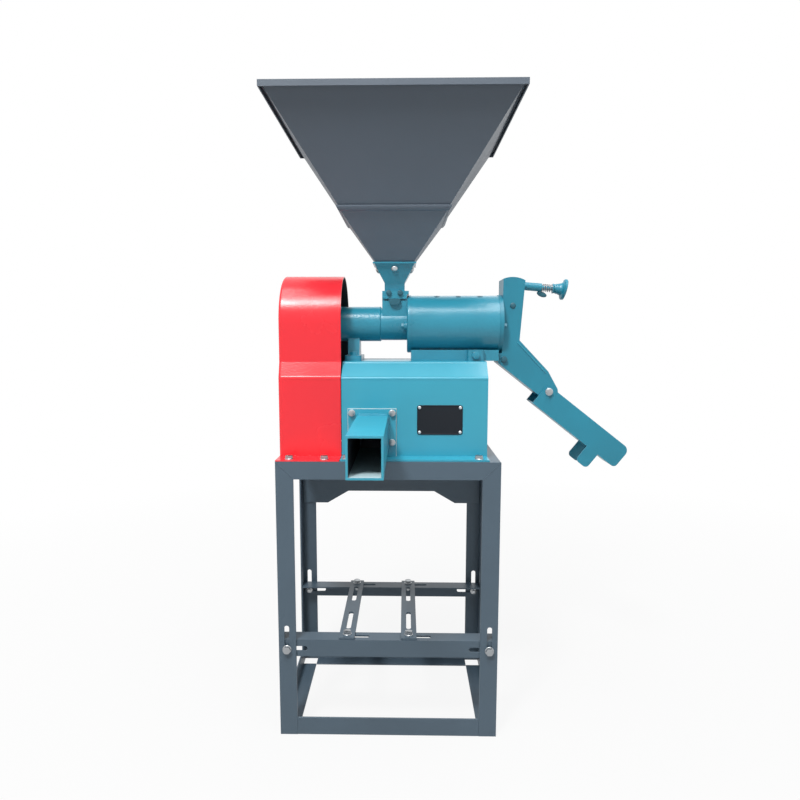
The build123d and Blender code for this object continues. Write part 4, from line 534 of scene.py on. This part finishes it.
def bead(path, radius, ripple=3.2, swell=0.14, step=1.1, least=8, thin_end=0.3, sides=10):
    """A weld: a circle carried along a path, r = R (1 + swell |sin(pi s / ripple)|), thinner at its ends."""
    path = np.array(path, float)
    along = np.concatenate([[0], np.cumsum(np.linalg.norm(np.diff(path, axis=0), axis=1))])
    s = np.linspace(0, along[-1], max(least, int(along[-1] / step)))
    line = np.stack([np.interp(s, along, path[:, k]) for k in range(3)], -1)
    way = unit(np.gradient(line, axis=0))
    # A guide that no weld runs along gives each circle its plane
    a = unit(np.cross(way, (0.31, 0.47, 0.83)))
    b = np.cross(way, a)
    taper = np.clip(np.minimum(s, along[-1] - s) / radius, thin_end, 1)
    r = radius * (1 + swell * np.abs(np.sin(np.pi * s / ripple))) * taper
    t = turn(sides)[:, None]
    return tube(line[:, None] + r[:, None, None] * (a[:, None] * np.cos(t) + b[:, None] * np.sin(t)))


def bent_edge(end, corner, turns, radius, proud, left, right, count=17):
    """Round outside of a bent sheet along X: an arc between two slopes, its chord inside the sheet.

    The arc's centre is radius / cos(half the bend) inside the corner, less what it stands proud."""
    low, high = np.radians(turns)
    middle, half = (low + high) / 2, (high - low) / 2
    spread = half + math.acos(1 - proud / radius)
    out = radius / math.cos(half) - proud
    t = np.linspace(middle - spread, middle + spread, count)
    y = corner[0] - out * math.cos(middle) + radius * np.cos(t)
    z = corner[1] - out * math.sin(middle) + radius * np.sin(t)
    # The rear edge mirrors the front one, so its points run the other way
    order = slice(None, None, end)
    return tube(np.stack([np.stack([np.full(count, x), end * y, z], -1)[order] for x in (left, right)]))


def piece(name, sheets, slot, body, *nodes, paint=None):
    """Joins sheets (millimetre points, blocks of faces, whether it is a bolt's head) on a body."""
    faces, heads, start = [], [], 0
    for points, blocks, head in sheets:
        for block in blocks:
            faces += (block + start).tolist()
            heads += [head] * len(block)
        start += len(points)
    mesh = bpy.data.meshes.new(name)
    mesh.from_pydata(place(np.concatenate([sheet[0] for sheet in sheets])).tolist(), [], faces)
    mesh.polygons.foreach_set("use_smooth", np.ones(len(mesh.polygons), bool))
    mesh.set_sharp_from_angle(angle=SHARP)
    mesh.materials.append(bpy.data.materials[paint or SLOT_LOOK[slot]])
    if any(heads) and not paint:
        mesh.materials.append(bpy.data.materials["dull_zinc"])
        mesh.polygons.foreach_set("material_index", np.array(heads, np.int32))
    made = bpy.data.objects.new(name, mesh)
    bpy.context.scene.collection.objects.link(made)
    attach(made, body)
    if nodes:
        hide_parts(*nodes)
    return made


class HULLER_OT_paint(bpy.types.Operator):
    """Makes the finishes and puts them, with rounded edges, on the frame's own nodes"""

    bl_idname = "huller.paint"
    bl_label = "Paint the frame"

    def execute(self, context):
        enamels(context.scene.huller_colours)
        metals(context.scene.huller_colours)
        for entry in frame["record"]["subparts"]:
            dress(entry["node"], entry["material_slot"], context.scene.huller_sizes.edge / MM)
        inside("belt_guard", "dark_primer_and_shade", (0, 1, 1), GUARD_MIDDLE, GUARD_FLANGE_TOP)
        # Painted shade and light in the duct: its inner sides dark, its floor and ceiling pale
        inside("discharge_duct", "dark_primer_and_shade", (1, 0, 0), DUCT_MIDDLE)
        inside("discharge_duct", "dusty_and_lit_primer", (0, 0, 1), DUCT_MIDDLE)
        return {"FINISHED"}


def tray_bolts(slot_in=15.0, gap=0.2):
    """Bolts that clamp the motor tray in the slots of the legs, slot_in from the stand's sides."""
    height = span("tray_fasteners").mean(0)[2]
    sheets = []
    for x in (slot_in - HALF_WIDE, HALF_WIDE - slot_in):
        sheets += twins(bolt, (x, HALF_DEEP + gap, height), size=M8, grip=6.4, nut=True)
    piece("tray_bolts", sheets, "zinc_steel", "tray", "tray_fasteners")


def strap_bolts(end_in=14.0):
    """Bolts through the ends of the two straps, end_in from them, into the tray's rails."""
    for side in ("left", "right"):
        low, high = span(f"strap_{side}")
        seat = ((low[0] + high[0]) / 2, high[1] - end_in, high[2])
        sheets = twins(bolt, seat, UP, size=M8, grip=7.4, nut=True)
        piece(f"{side}_strap_bolts", sheets, "zinc_steel", f"{side}_strap", f"strap_bolts_{side}")


def deck_bolts(rail=3.0):
    """Bolts through the flanges of the base and the guard into the stand's top rails."""
    # Thickness of the flange, then how far its bolts are in from the left, the right and the outer edge
    flanges = (("base_housing", 3.0, 11.0, 18.0, 10.0), ("belt_guard", 2.0, 23.0, 27.5, 14.0))
    sheets = []
    for name, thick, left_in, right_in, edge_in in flanges:
        low, high = span(name)
        for x in (low[0] + left_in, high[0] - right_in):
            seat = (x, high[1] - edge_in, low[2] + thick)
            sheets += twins(bolt, seat, UP, size=M8, grip=thick + rail, nut=True)
    piece("deck_bolts", sheets, "zinc_steel", "machine", "deck_fasteners")


def duct_bolts(edge_in=7.0, low_in=25.0):
    """Four bolts of the duct's flange plate; the lower two sit well above its edge."""
    low, high = span("discharge_duct")
    sheets = []
    for x in (low[0] + edge_in, high[0] - edge_in):
        for z in (low[2] + low_in, high[2] - edge_in):
            sheets += bolt((x, DUCT_FRONT, z), FRONT, size=M6, grip=14)
    piece("duct_plate_bolts", sheets, "zinc_steel", "machine", "duct_bolts")


def chute_pivots(gap=0.3):
    """Slim bolts that the lower chute tilts on."""
    x, _, z = span("chute_pivot_bolts").mean(0)
    seat = (x, span("lower_chute")[1][1] + gap, z)
    sheets = twins(bolt, seat, size=M8_SLIM, grip=4.6, nut=True)
    piece("chute_pivots", sheets, "zinc_steel", "machine", "chute_pivot_bolts")


def pedestal_bolts(left_in=24.0, edge_in=11.0, foot=10.0):
    """Painted bolts through the foot of the bearing's pedestal."""
    low, high = span("bearing_housing")
    seat = (low[0] + left_in, high[1] - edge_in, low[2] + foot)
    sheets = twins(bolt, seat, UP, size=M8, grip=13, nut=True)
    piece("pedestal_foot_bolts", sheets, "teal_paint", "machine", "pedestal_bolts", paint="head_enamel")


def saddle_bolts(lug_in=44.5, lug_up=10.5, screw_in=53.5, screw_side=6.5, sheet=3.0):
    """Painted bolts: one in each lug of the drum's saddle, and one up through the base's sheet."""
    low, high = span("drum_saddle")
    sheets = twins(bolt, (high[0] - lug_in, high[1], low[2] + lug_up), size=M8, grip=20)
    screw = (high[0] - screw_in, high[1] - screw_side, low[2] - sheet)
    sheets += twins(bolt, screw, DOWN, size=M6, grip=15)
    piece("saddle_lug_bolts", sheets, "teal_paint", "machine", "saddle_bolts", paint="head_enamel")


def flange_bolts(side=41.0, below=4.5, flange=5.0):
    """Painted bolts in both flanges of the drum, a little below the shaft."""
    z = SHAFT_Z - below
    sheets = twins(bolt, (span("drum_cover")[0][0] - flange, side, z), LEFT, size=M6, grip=13)
    sheets += twins(bolt, (span("outlet_end_plate")[1][0], side, z), RIGHT, size=M6, grip=7.5)
    piece("flange_bolts", sheets, "teal_paint", "machine", "drum_flange_bolts", paint="outlet_enamel")


def outlet_pins():
    """Painted tie bolt of the outlet's cheeks, and the domed ends of the flap's pin."""
    x, _, z = span("tie_bolt").mean(0)
    tie = twins(bolt, (x, OUTLET_SIDE, z), size=M6, grip=OUTLET_SIDE)
    piece("outlet_tie_bolt", tie, "zinc_steel", "machine", "tie_bolt", paint="dark_enamel_and_gate_shade")
    x, _, z = span("flap_pin").mean(0)
    pin = twins(button, (x, OUTLET_SIDE, z), radius=5.5, height=2.5, stem=4.0, deep=OUTLET_SIDE)
    piece("flap_pivot_pin", pin, "zinc_steel", "machine", "flap_pin", paint="dark_enamel_and_gate_shade")


def knife_screws(radius=5.0, out=53.0, lean=math.radians(18)):
    """Three domed screws in a row on the drum, leaning to the front."""
    low, high = span("knife_screws")
    way = np.array([0, -math.sin(lean), math.cos(lean)])
    sheets = []
    for x in np.linspace(low[0] + radius, high[0] - radius, 3):
        seat = np.array([x, 0, SHAFT_Z]) + out * way
        sheets += button(seat, way, radius, height=2.0, stem=3.0, deep=8)
    piece("knife_screw_heads", sheets, "black_plate", "machine", "knife_screws", paint="dark_enamel_and_gate_shade")


def seat_bolts(out=32.51, up=862.0, rise=20.0, run=37.0):
    """Domed bolts in the four sloping sides of the hopper's seat, square to the slope."""
    sheets = []
    for x, y in ((0, -1), (0, 1), (-1, 0), (1, 0)):
        seat = (HOPPER_X + out * x, out * y, up)
        sheets += button(seat, (run * x, run * y, -rise), radius=6.2, height=3.6, stem=3.0, deep=9)
    piece("hopper_seat_bolts", sheets, "zinc_steel", "machine", "hopper_bolts")


class HULLER_OT_bolts(bpy.types.Operator):
    """Chamfered bolts with washers, nuts and threaded ends in place of the frame's plain ones"""

    bl_idname = "huller.bolts"
    bl_label = "Bolts"

    def execute(self, context):
        tray_bolts()
        strap_bolts()
        deck_bolts()
        duct_bolts()
        chute_pivots()
        pedestal_bolts()
        saddle_bolts()
        flange_bolts()
        outlet_pins()
        knife_screws()
        seat_bolts()
        return {"FINISHED"}


class HULLER_OT_nameplate(bpy.types.Operator):
    """Bare nameplate with a raised border and four domed rivets"""

    bl_idname = "huller.nameplate"
    bl_label = "Nameplate"

    def execute(self, context):
        low, high = span("nameplate")
        x, _, z = (low + high) / 2
        wide, _, tall = (high - low) / 2
        back = high[1]
        # Corners are rounded by |cos t|^soft; levels are (inset, height) of back, edge, border and sunk field
        soft, field = 0.12, 0.8
        levels = ((0.0, 0.0), (0.0, 0.9), (0.4, 1.2), (1.6, 1.2), (2.0, field))
        t = turn(64)
        across = np.sign(np.cos(t)) * np.abs(np.cos(t)) ** soft
        along = np.sign(np.sin(t)) * np.abs(np.sin(t)) ** soft
        rings = [
            np.stack([x + (wide - i) * across, np.full(len(t), back - up), z + (tall - i) * along], -1)
            for i, up in levels
        ]
        piece("bare_nameplate", [tube(np.stack(rings))], "black_plate", "machine", "nameplate")
        edge_in = 4.5
        rivets = []
        for a, b in CORNERS:
            seat = (x + a * (wide - edge_in), back - field, z + b * (tall - edge_in))
            rivets += button(seat, FRONT, radius=3.0, height=1.6, stem=1.2, deep=field)
        piece("plate_rivets", rivets, "zinc_steel", "machine", "nameplate_rivets")
        return {"FINISHED"}


class HULLER_OT_hand_nut(bpy.types.Operator):
    """Hand nut of the adjuster: a grooved hub that flares into a thin, leaning disc"""

    bl_idname = "huller.hand_nut"
    bl_label = "Hand nut"

    def execute(self, context):
        spring_end, spring_gap, cup_wall, nut_gap = 57.0, 0.3, 2.2, 0.2
        start = spring_end + spring_gap + cup_wall + nut_gap
        bore, disc = 4.3, 19.5
        # Radius and place along the rod: hub with two grooves, flare, disc, back to the bore
        profile = [
            *((bore, 0), (7.4, 0), (8.4, 0.6), (8.8, 2), (8.3, 2.6), (8.5, 3.4), (9.2, 4), (9.8, 6.4)),
            *((9.2, 7), (9.4, 7.8), (10.2, 8.6), (10.9, 11), (12, 14), (14, 15.6), (17.6, 16.6)),
            *((18.8, 17.2), (disc, 18.2), (disc, 21.4), (18.7, 22.2), (16, 22.4), (bore, 22.4)),
        ]
        r, s = np.array(profile, float).T
        r = np.where(r > bore, r * context.scene.huller_sizes.knob / MM / disc, r)
        rings = ring_stack(ROD_ROOT + start * ROD_WAY, ROD_WAY, r, s)
        # The lean grows through the flare, and stays even over the outer part of the disc
        flare, lean, even = (9, 16), math.tan(math.radians(8)), 15
        up = rings[..., 2] - rings[..., 2].mean(1, keepdims=True)
        rings[..., 0] += np.interp(s, flare, (0, lean))[:, None] * np.clip(up, -even, even)
        piece("hand_nut", [hoop(rings)], "cast_iron", "knob", "pressure_knob", paint="outlet_enamel")
        return {"FINISHED"}


class HULLER_OT_spring(bpy.types.Operator):
    """Pressure spring in two lengths: the near one on the frame, the far one on the rod"""

    bl_idname = "huller.spring"
    bl_label = "Pressure spring"

    def execute(self, context):
        # Along the rod: the spring's foot, its wire's first and last middle, and where the lengths meet
        foot, first, meet, last = 36.6, 37.6, 48.3, 55.9
        near = coil(ROD_ROOT, ROD_WAY, first, meet, turns=2.92, radius=6.6, wire=0.9)
        spring = piece("spring_near_half", [near], "spring_steel", "machine", "pressure_spring")
        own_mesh(spring)
        far = coil(ROD_ROOT, ROD_WAY, meet, last, turns=2.08, radius=6.6, wire=0.9)
        spring = piece("spring_far_half", [far], "spring_steel", "rod")
        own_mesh(spring)
        return {"FINISHED"}


class HULLER_OT_wing_screw(bpy.types.Operator):
    """Wing screw that hangs under the adjuster's tube"""

    bl_idname = "huller.wing_screw"
    bl_label = "Wing screw"

    def execute(self, context):
        along = 33.0
        stem = ROD_ROOT + along * ROD_WAY
        screw = ring_stack(stem, DOWN, [3.4, 3.4, 3.0], [6.0, 11.5, 12.0])
        # An ellipsoid, long along X and thinned at its middle, that rises to the left
        long, thick, deep, rise = 9.5, 3.2, 5.2, 2.6
        right, below = 4.5, 13.0
        u = np.linspace(0.02 * np.pi, 0.98 * np.pi, 14)[:, None]
        t = turn(24)[None, :]
        even = np.ones_like(t)
        wing = [
            stem[0] + right - long * np.cos(u) * even,
            thick * np.sin(u) * np.cos(t) * (1.2 - 0.5 * np.sin(u)),
            stem[2] - below + deep * np.sin(u) * np.sin(t) + rise * np.cos(u) * even,
        ]
        sheets = [tube(screw), tube(np.stack(wing, -1))]
        piece("wing_screw", sheets, "cast_iron", "machine", paint="dark_enamel_and_gate_shade")
        return {"FINISHED"}


class HULLER_OT_neck_bolts(bpy.types.Operator):
    """Two small bolts on the neck's flange"""

    bl_idname = "huller.neck_bolts"
    bl_label = "Neck bolts"

    def execute(self, context):
        front, height = -30.0, 817.8
        sheets = []
        for x in (-0.7, 20.6):
            sheets += bolt((x, front, height), FRONT, size=M5, grip=1.5)
        piece("neck_flange_bolts", sheets, "teal_paint", "machine", paint="dark_enamel_and_gate_shade")
        return {"FINISHED"}


class HULLER_OT_hopper_hem(bpy.types.Operator):
    """Rolled hem where the hopper's two parts lap"""

    bl_idname = "huller.hopper_hem"
    bl_label = "Hopper hem"

    def execute(self, context):
        # Half an ellipse, out from a sloping wall, carried round the square with mitred corners
        middle, half_tall, out = 960.5, 4.6, 1.9
        wall, slope = 98.3, 0.66
        inner = ((97.0, middle + half_tall), (94.0, middle - half_tall))
        u = np.linspace(-0.5 * np.pi, 0.5 * np.pi, 13)
        rise = half_tall * np.sin(u)
        outer = np.stack([wall + rise * slope + out * np.cos(u), middle + rise], -1)
        half, height = np.concatenate([outer, inner]).T
        # Clockwise, seen from above, so that the faces point outwards
        corners = ((-1, -1), (-1, 1), (1, 1), (1, -1))
        rings = [np.stack([HOPPER_X + x * half, y * half, height], -1) for x, y in corners]
        piece("hopper_hem", [hoop(np.stack(rings))], "hopper_paint", "machine")
        return {"FINISHED"}


def from_corner(corner, *points):
    """Points of the stand, measured in from the outside of one of its corners."""
    x, y = corner
    return [(x * (HALF_WIDE - dx), y * (HALF_DEEP - dy), z) for dx, dy, z in points]


class HULLER_OT_stand_welds(bpy.types.Operator):
    """Weld beads at the stand's feet and top corners, and mitre lines over its top rails"""

    bl_idname = "huller.stand_welds"
    bl_label = "Stand welds"

    def execute(self, context):
        r = context.scene.huller_sizes.weld / MM
        # Thinner beads lie on the foot rails, from the legs' edges to near their corners
        foot, edge, near, sunk = 34.5, 32.0, 4.0, 2.2
        thin = 0.7 * r
        corner_in, corner_low, corner_high = 3.6, 486.0, 512.0
        # A mitre is a smooth low ridge: its ripple is nearly as long as itself
        ridge, smooth = 0.55, 40
        mitre_top, mitre_foot = (0.4, 0, 516.2), (31.5, 0, 485.0)
        sheets = []
        for corner in CORNERS:
            sheets.append(bead(from_corner(corner, (edge, sunk, foot), (near, sunk, foot)), thin))
            sheets.append(bead(from_corner(corner, (sunk, edge, foot), (sunk, near, foot)), thin))
            ends = ((corner_in, corner_in, z) for z in (corner_low, corner_high))
            sheets.append(bead(from_corner(corner, *ends), r))
        for corner in CORNERS:
            sheets.append(bead(from_corner(corner, mitre_top, mitre_foot), ridge, smooth))
        piece("stand_welds", sheets, "stand_paint", "machine")
        return {"FINISHED"}


class HULLER_OT_bends(bpy.types.Operator):
    """Rounded bends of the base's and the guard's sheet, in front and at the back"""

    bl_idname = "huller.bends"
    bl_label = "Bends"

    def execute(self, context):
        ends = (-1, 1)
        slope = 45.5
        shoulder, top = ((102.0, 662.0), (0, slope)), ((74.0, 690.5), (slope, 90))
        left, right = span("base_housing")[:, 0] + (0.5, -0.5)
        base = [
            bent_edge(end, corner, turns, radius=5.0, proud=0.45, left=left, right=right)
            for end in ends
            for corner, turns in (shoulder, top)
        ]
        piece("base_bends", base, "teal_paint", "machine")
        left, right = span("belt_guard")[:, 0] + (5.5, -0.5)
        guard = [
            bent_edge(end, (101.0, 662.0), (0, 21), radius=9.0, proud=0.25, left=left, right=right)
            for end in ends
        ]
        piece("guard_bends", guard, "red_paint", "machine")
        return {"FINISHED"}


class HULLER_OT_head_welds(bpy.types.Operator):
    """Weld beads round the duct, along the outlet's cheek and round the bearing's joint"""

    bl_idname = "huller.head_welds"
    bl_label = "Head welds"

    def execute(self, context):
        r = context.scene.huller_sizes.weld / MM
        sides, out = (-1, 1), 0.4
        x, _, z = DUCT_MIDDLE
        wide, tall = DUCT_HALF
        front = DUCT_FRONT - out
        sheets = []
        for side in sides:
            level = z + side * (tall + out)
            sheets.append(bead([(x - wide, front, level), (x + wide, front, level)], r))
        for side in sides:
            upright = x + side * (wide + out)
            sheets.append(bead([(upright, front, z - tall), (upright, front, z + tall)], r))
        cheek = [(242.3, -OUTLET_SIDE, 725.5), (297.8, -OUTLET_SIDE, 667.0)]
        sheets.append(bead(cheek, 0.5 * r))
        t = np.linspace(0, 2 * np.pi, 60)
        joint, radius = span("bearing_housing")[1][0], 31.2
        ring = [np.full(len(t), joint), radius * np.cos(t), SHAFT_Z + radius * np.sin(t)]
        sheets.append(bead(np.stack(ring, -1), 0.8 * r))
        piece("head_welds", sheets, "teal_paint", "machine", paint="head_enamel")
        return {"FINISHED"}


class HULLER_OT_gasket_and_highlight(bpy.types.Operator):
    """Board between the duct's plate and the base, that shows as a thin pale line all round: a gasket, and a
    painted highlight on the plate's edges
    """

    bl_idname = "huller.gasket"
    bl_label = "Gasket"

    def execute(self, context):
        # A flat ring: its outside is past the plate's edge, its inside is hidden under it
        low, high = span("discharge_duct")
        back, front = high[1] - 0.05, high[1] - 1.3
        shown, hidden = 0.9, -0.5
        section = ((shown, back), (shown, front), (hidden, front), (hidden, back))
        rings = []
        for x, z in ((-1, -1), (1, -1), (1, 1), (-1, 1)):
            corner_x = high[0] if x > 0 else low[0]
            corner_z = high[2] if z > 0 else low[2]
            rings.append([(corner_x + x * past, y, corner_z + z * past) for past, y in section])
        sheet = hoop(np.array(rings))
        # The pale ring is a gasket and a painted highlight on the plate's edges
        piece("duct_gasket_and_highlight", [sheet], "zinc_steel", "machine", paint="gasket_board_and_highlight")
        return {"FINISHED"}


def seen_ray(tree):
    """One for rays that show the background: from the camera, off gloss or through glass."""
    rays = node(tree, "ShaderNodeLightPath").outputs
    seen = rays["Is Camera Ray"]
    for kind in ("Is Glossy Ray", "Is Transmission Ray"):
        both = node(tree, "ShaderNodeMath", [("operation", "MAXIMUM")], [(0, seen), (1, rays[kind])])
        seen = both.outputs[0]
    return seen


def lay_floor(scene):
    """A pale matt floor that takes soft shadows and turns to the white of the background farther out."""
    half, sunk = 30.0, 0.0005
    near, far, near_white, far_white = 0.4, 2.2, 0.9, 1.0
    mesh = bpy.data.meshes.new("floor")
    corners = [(-half, -half, 0), (half, -half, 0), (half, half, 0), (-half, half, 0)]
    mesh.from_pydata(corners, [], [(0, 1, 2, 3)])
    floor = bpy.data.objects.new("floor", mesh)
    floor.location.z = -sunk
    scene.collection.objects.link(floor)
    paint = bpy.data.materials.new("pale_floor")
    paint.use_nodes = True
    tree = paint.node_tree
    tree.nodes.clear()
    matte = node(tree, "ShaderNodeBsdfDiffuse", [("Color", [*linear("#bcbcbb"), 1.0])])
    white = node(tree, "ShaderNodeEmission", [("Color", (1, 1, 1, 1)), ("Strength", 1.0)])
    spot = node(tree, "ShaderNodeTexCoord").outputs["Object"]
    distance = node(tree, "ShaderNodeVectorMath", [("operation", "LENGTH")], [("Vector", spot)])
    share = node(
        tree,
        "ShaderNodeMapRange",
        [("From Min", near), ("From Max", far), ("To Min", near_white), ("To Max", far_white)],
        [("Value", distance.outputs["Value"])],
    )
    shown = node(
        tree,
        "ShaderNodeMath",
        [("operation", "MULTIPLY")],
        [(0, share.outputs[0]), (1, seen_ray(tree))],
    )
    mix = node(
        tree,
        "ShaderNodeMixShader",
        links=[("Fac", shown.outputs[0]), (1, matte.outputs[0]), (2, white.outputs[0])],
    )
    end = node(tree, "ShaderNodeOutputMaterial")
    tree.links.new(mix.outputs[0], end.inputs[0])
    mesh.materials.append(paint)


def light_studio(scene):
    """A world that is white where it is seen and dim and cool where it lights, and four lamps."""
    world = bpy.data.worlds.new("studio")
    scene.world = world
    world.use_nodes = True
    tree = world.node_tree
    tree.nodes.clear()
    dim = node(tree, "ShaderNodeBackground", [("Color", (0.93, 0.96, 1, 1)), ("Strength", 0.30)])
    white = node(tree, "ShaderNodeBackground", [("Color", (1, 1, 1, 1)), ("Strength", 1.0)])
    mix = node(
        tree,
        "ShaderNodeMixShader",
        links=[("Fac", seen_ray(tree)), (1, dim.outputs[0]), (2, white.outputs[0])],
    )
    end = node(tree, "ShaderNodeOutputWorld")
    tree.links.new(mix.outputs[0], end.inputs[0])
    # Place and size in metres, power in watts: a small high key from the left, a wide sky over the front,
    # a weak fill from the right and a back light, all aimed at the middle of the machine
    lamps = (
        ("key", (-0.95, -1.85, 3.10), 0.45, 73.0),
        ("sky", (-0.05, -0.90, 3.60), 2.2, 110.0),
        ("fill", (1.9, -2.4, 1.2), 1.6, 3.0),
        ("back", (0.4, 2.6, 2.2), 1.8, 6.0),
    )
    target = np.array([-0.05, 0.0, 0.65])
    for name, where, size, power in lamps:
        lamp = bpy.data.lights.new(name, "AREA")
        lamp.size = size
        lamp.energy = power
        made = bpy.data.objects.new(name, lamp)
        made.location = where
        x, y, z = target - where
        made.rotation_euler = (math.atan2(math.hypot(x, y), -z), 0, math.atan2(y, x) - math.pi / 2)
        scene.collection.objects.link(made)


def set_camera(scene):
    """The photograph's view: 1.28 m in front of the stand's centre, 0.74 m up, turned down by 7 degrees."""
    spot, down, aside = (30.1, -1275.8, 740.5), 0.1216, 0.02
    lens = bpy.data.cameras.new("photo_view")
    lens.lens = 29.34
    lens.sensor_width = 36.0
    lens.shift_x = 0.01
    lens.shift_y = 0.0173
    camera = bpy.data.objects.new("photo_view", lens)
    camera.location = place(spot)
    camera.rotation_euler = (math.pi / 2 - down, 0, aside)
    scene.collection.objects.link(camera)
    scene.camera = camera
    scene.view_settings.view_transform = "Standard"


class HULLER_OT_stage(bpy.types.Operator):
    """Pale floor, soft studio light and the camera at the photograph's angle"""

    bl_idname = "huller.stage"
    bl_label = "Stage"

    def execute(self, context):
        lay_floor(context.scene)
        light_studio(context.scene)
        set_camera(context.scene)
        return {"FINISHED"}


STEPS = (
    HULLER_OT_paint,
    HULLER_OT_bolts,
    HULLER_OT_nameplate,
    HULLER_OT_hand_nut,
    HULLER_OT_spring,
    HULLER_OT_wing_screw,
    HULLER_OT_neck_bolts,
    HULLER_OT_hopper_hem,
    HULLER_OT_stand_welds,
    HULLER_OT_bends,
    HULLER_OT_head_welds,
    HULLER_OT_gasket_and_highlight,
    HULLER_OT_stage,
)


class HULLER_PT_panel(bpy.types.Panel):
    """The steps, in order, with the colours and sizes they use"""

    bl_idname = "HULLER_PT_panel"
    bl_label = "Rice huller"
    bl_space_type = "VIEW_3D"
    bl_region_type = "UI"
    bl_category = "Huller"

    def draw(self, context):
        for group in (context.scene.huller_colours, context.scene.huller_sizes):
            for key in group.__annotations__:
                self.layout.prop(group, key)
        for step in STEPS:
            self.layout.operator(step.bl_idname)


CLASSES = (HullerColours, HullerSizes, *STEPS, HULLER_PT_panel)


def register():
    """Adds the classes, and the colours and sizes to the scene."""
    for kind in CLASSES:
        bpy.utils.register_class(kind)
    bpy.types.Scene.huller_colours = bpy.props.PointerProperty(type=HullerColours)
    bpy.types.Scene.huller_sizes = bpy.props.PointerProperty(type=HullerSizes)


def unregister():
    """Takes away what register added."""
    del bpy.types.Scene.huller_sizes
    del bpy.types.Scene.huller_colours
    for kind in reversed(CLASSES):
        bpy.utils.unregister_class(kind)


def main():
    """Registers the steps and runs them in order."""
    register()
    bpy.ops.huller.paint()
    bpy.ops.huller.bolts()
    bpy.ops.huller.nameplate()
    bpy.ops.huller.hand_nut()
    bpy.ops.huller.spring()
    bpy.ops.huller.wing_screw()
    bpy.ops.huller.neck_bolts()
    bpy.ops.huller.hopper_hem()
    bpy.ops.huller.stand_welds()
    bpy.ops.huller.bends()
    bpy.ops.huller.head_welds()
    bpy.ops.huller.gasket()
    bpy.ops.huller.stage()


if __name__ == "__main__":
    main()
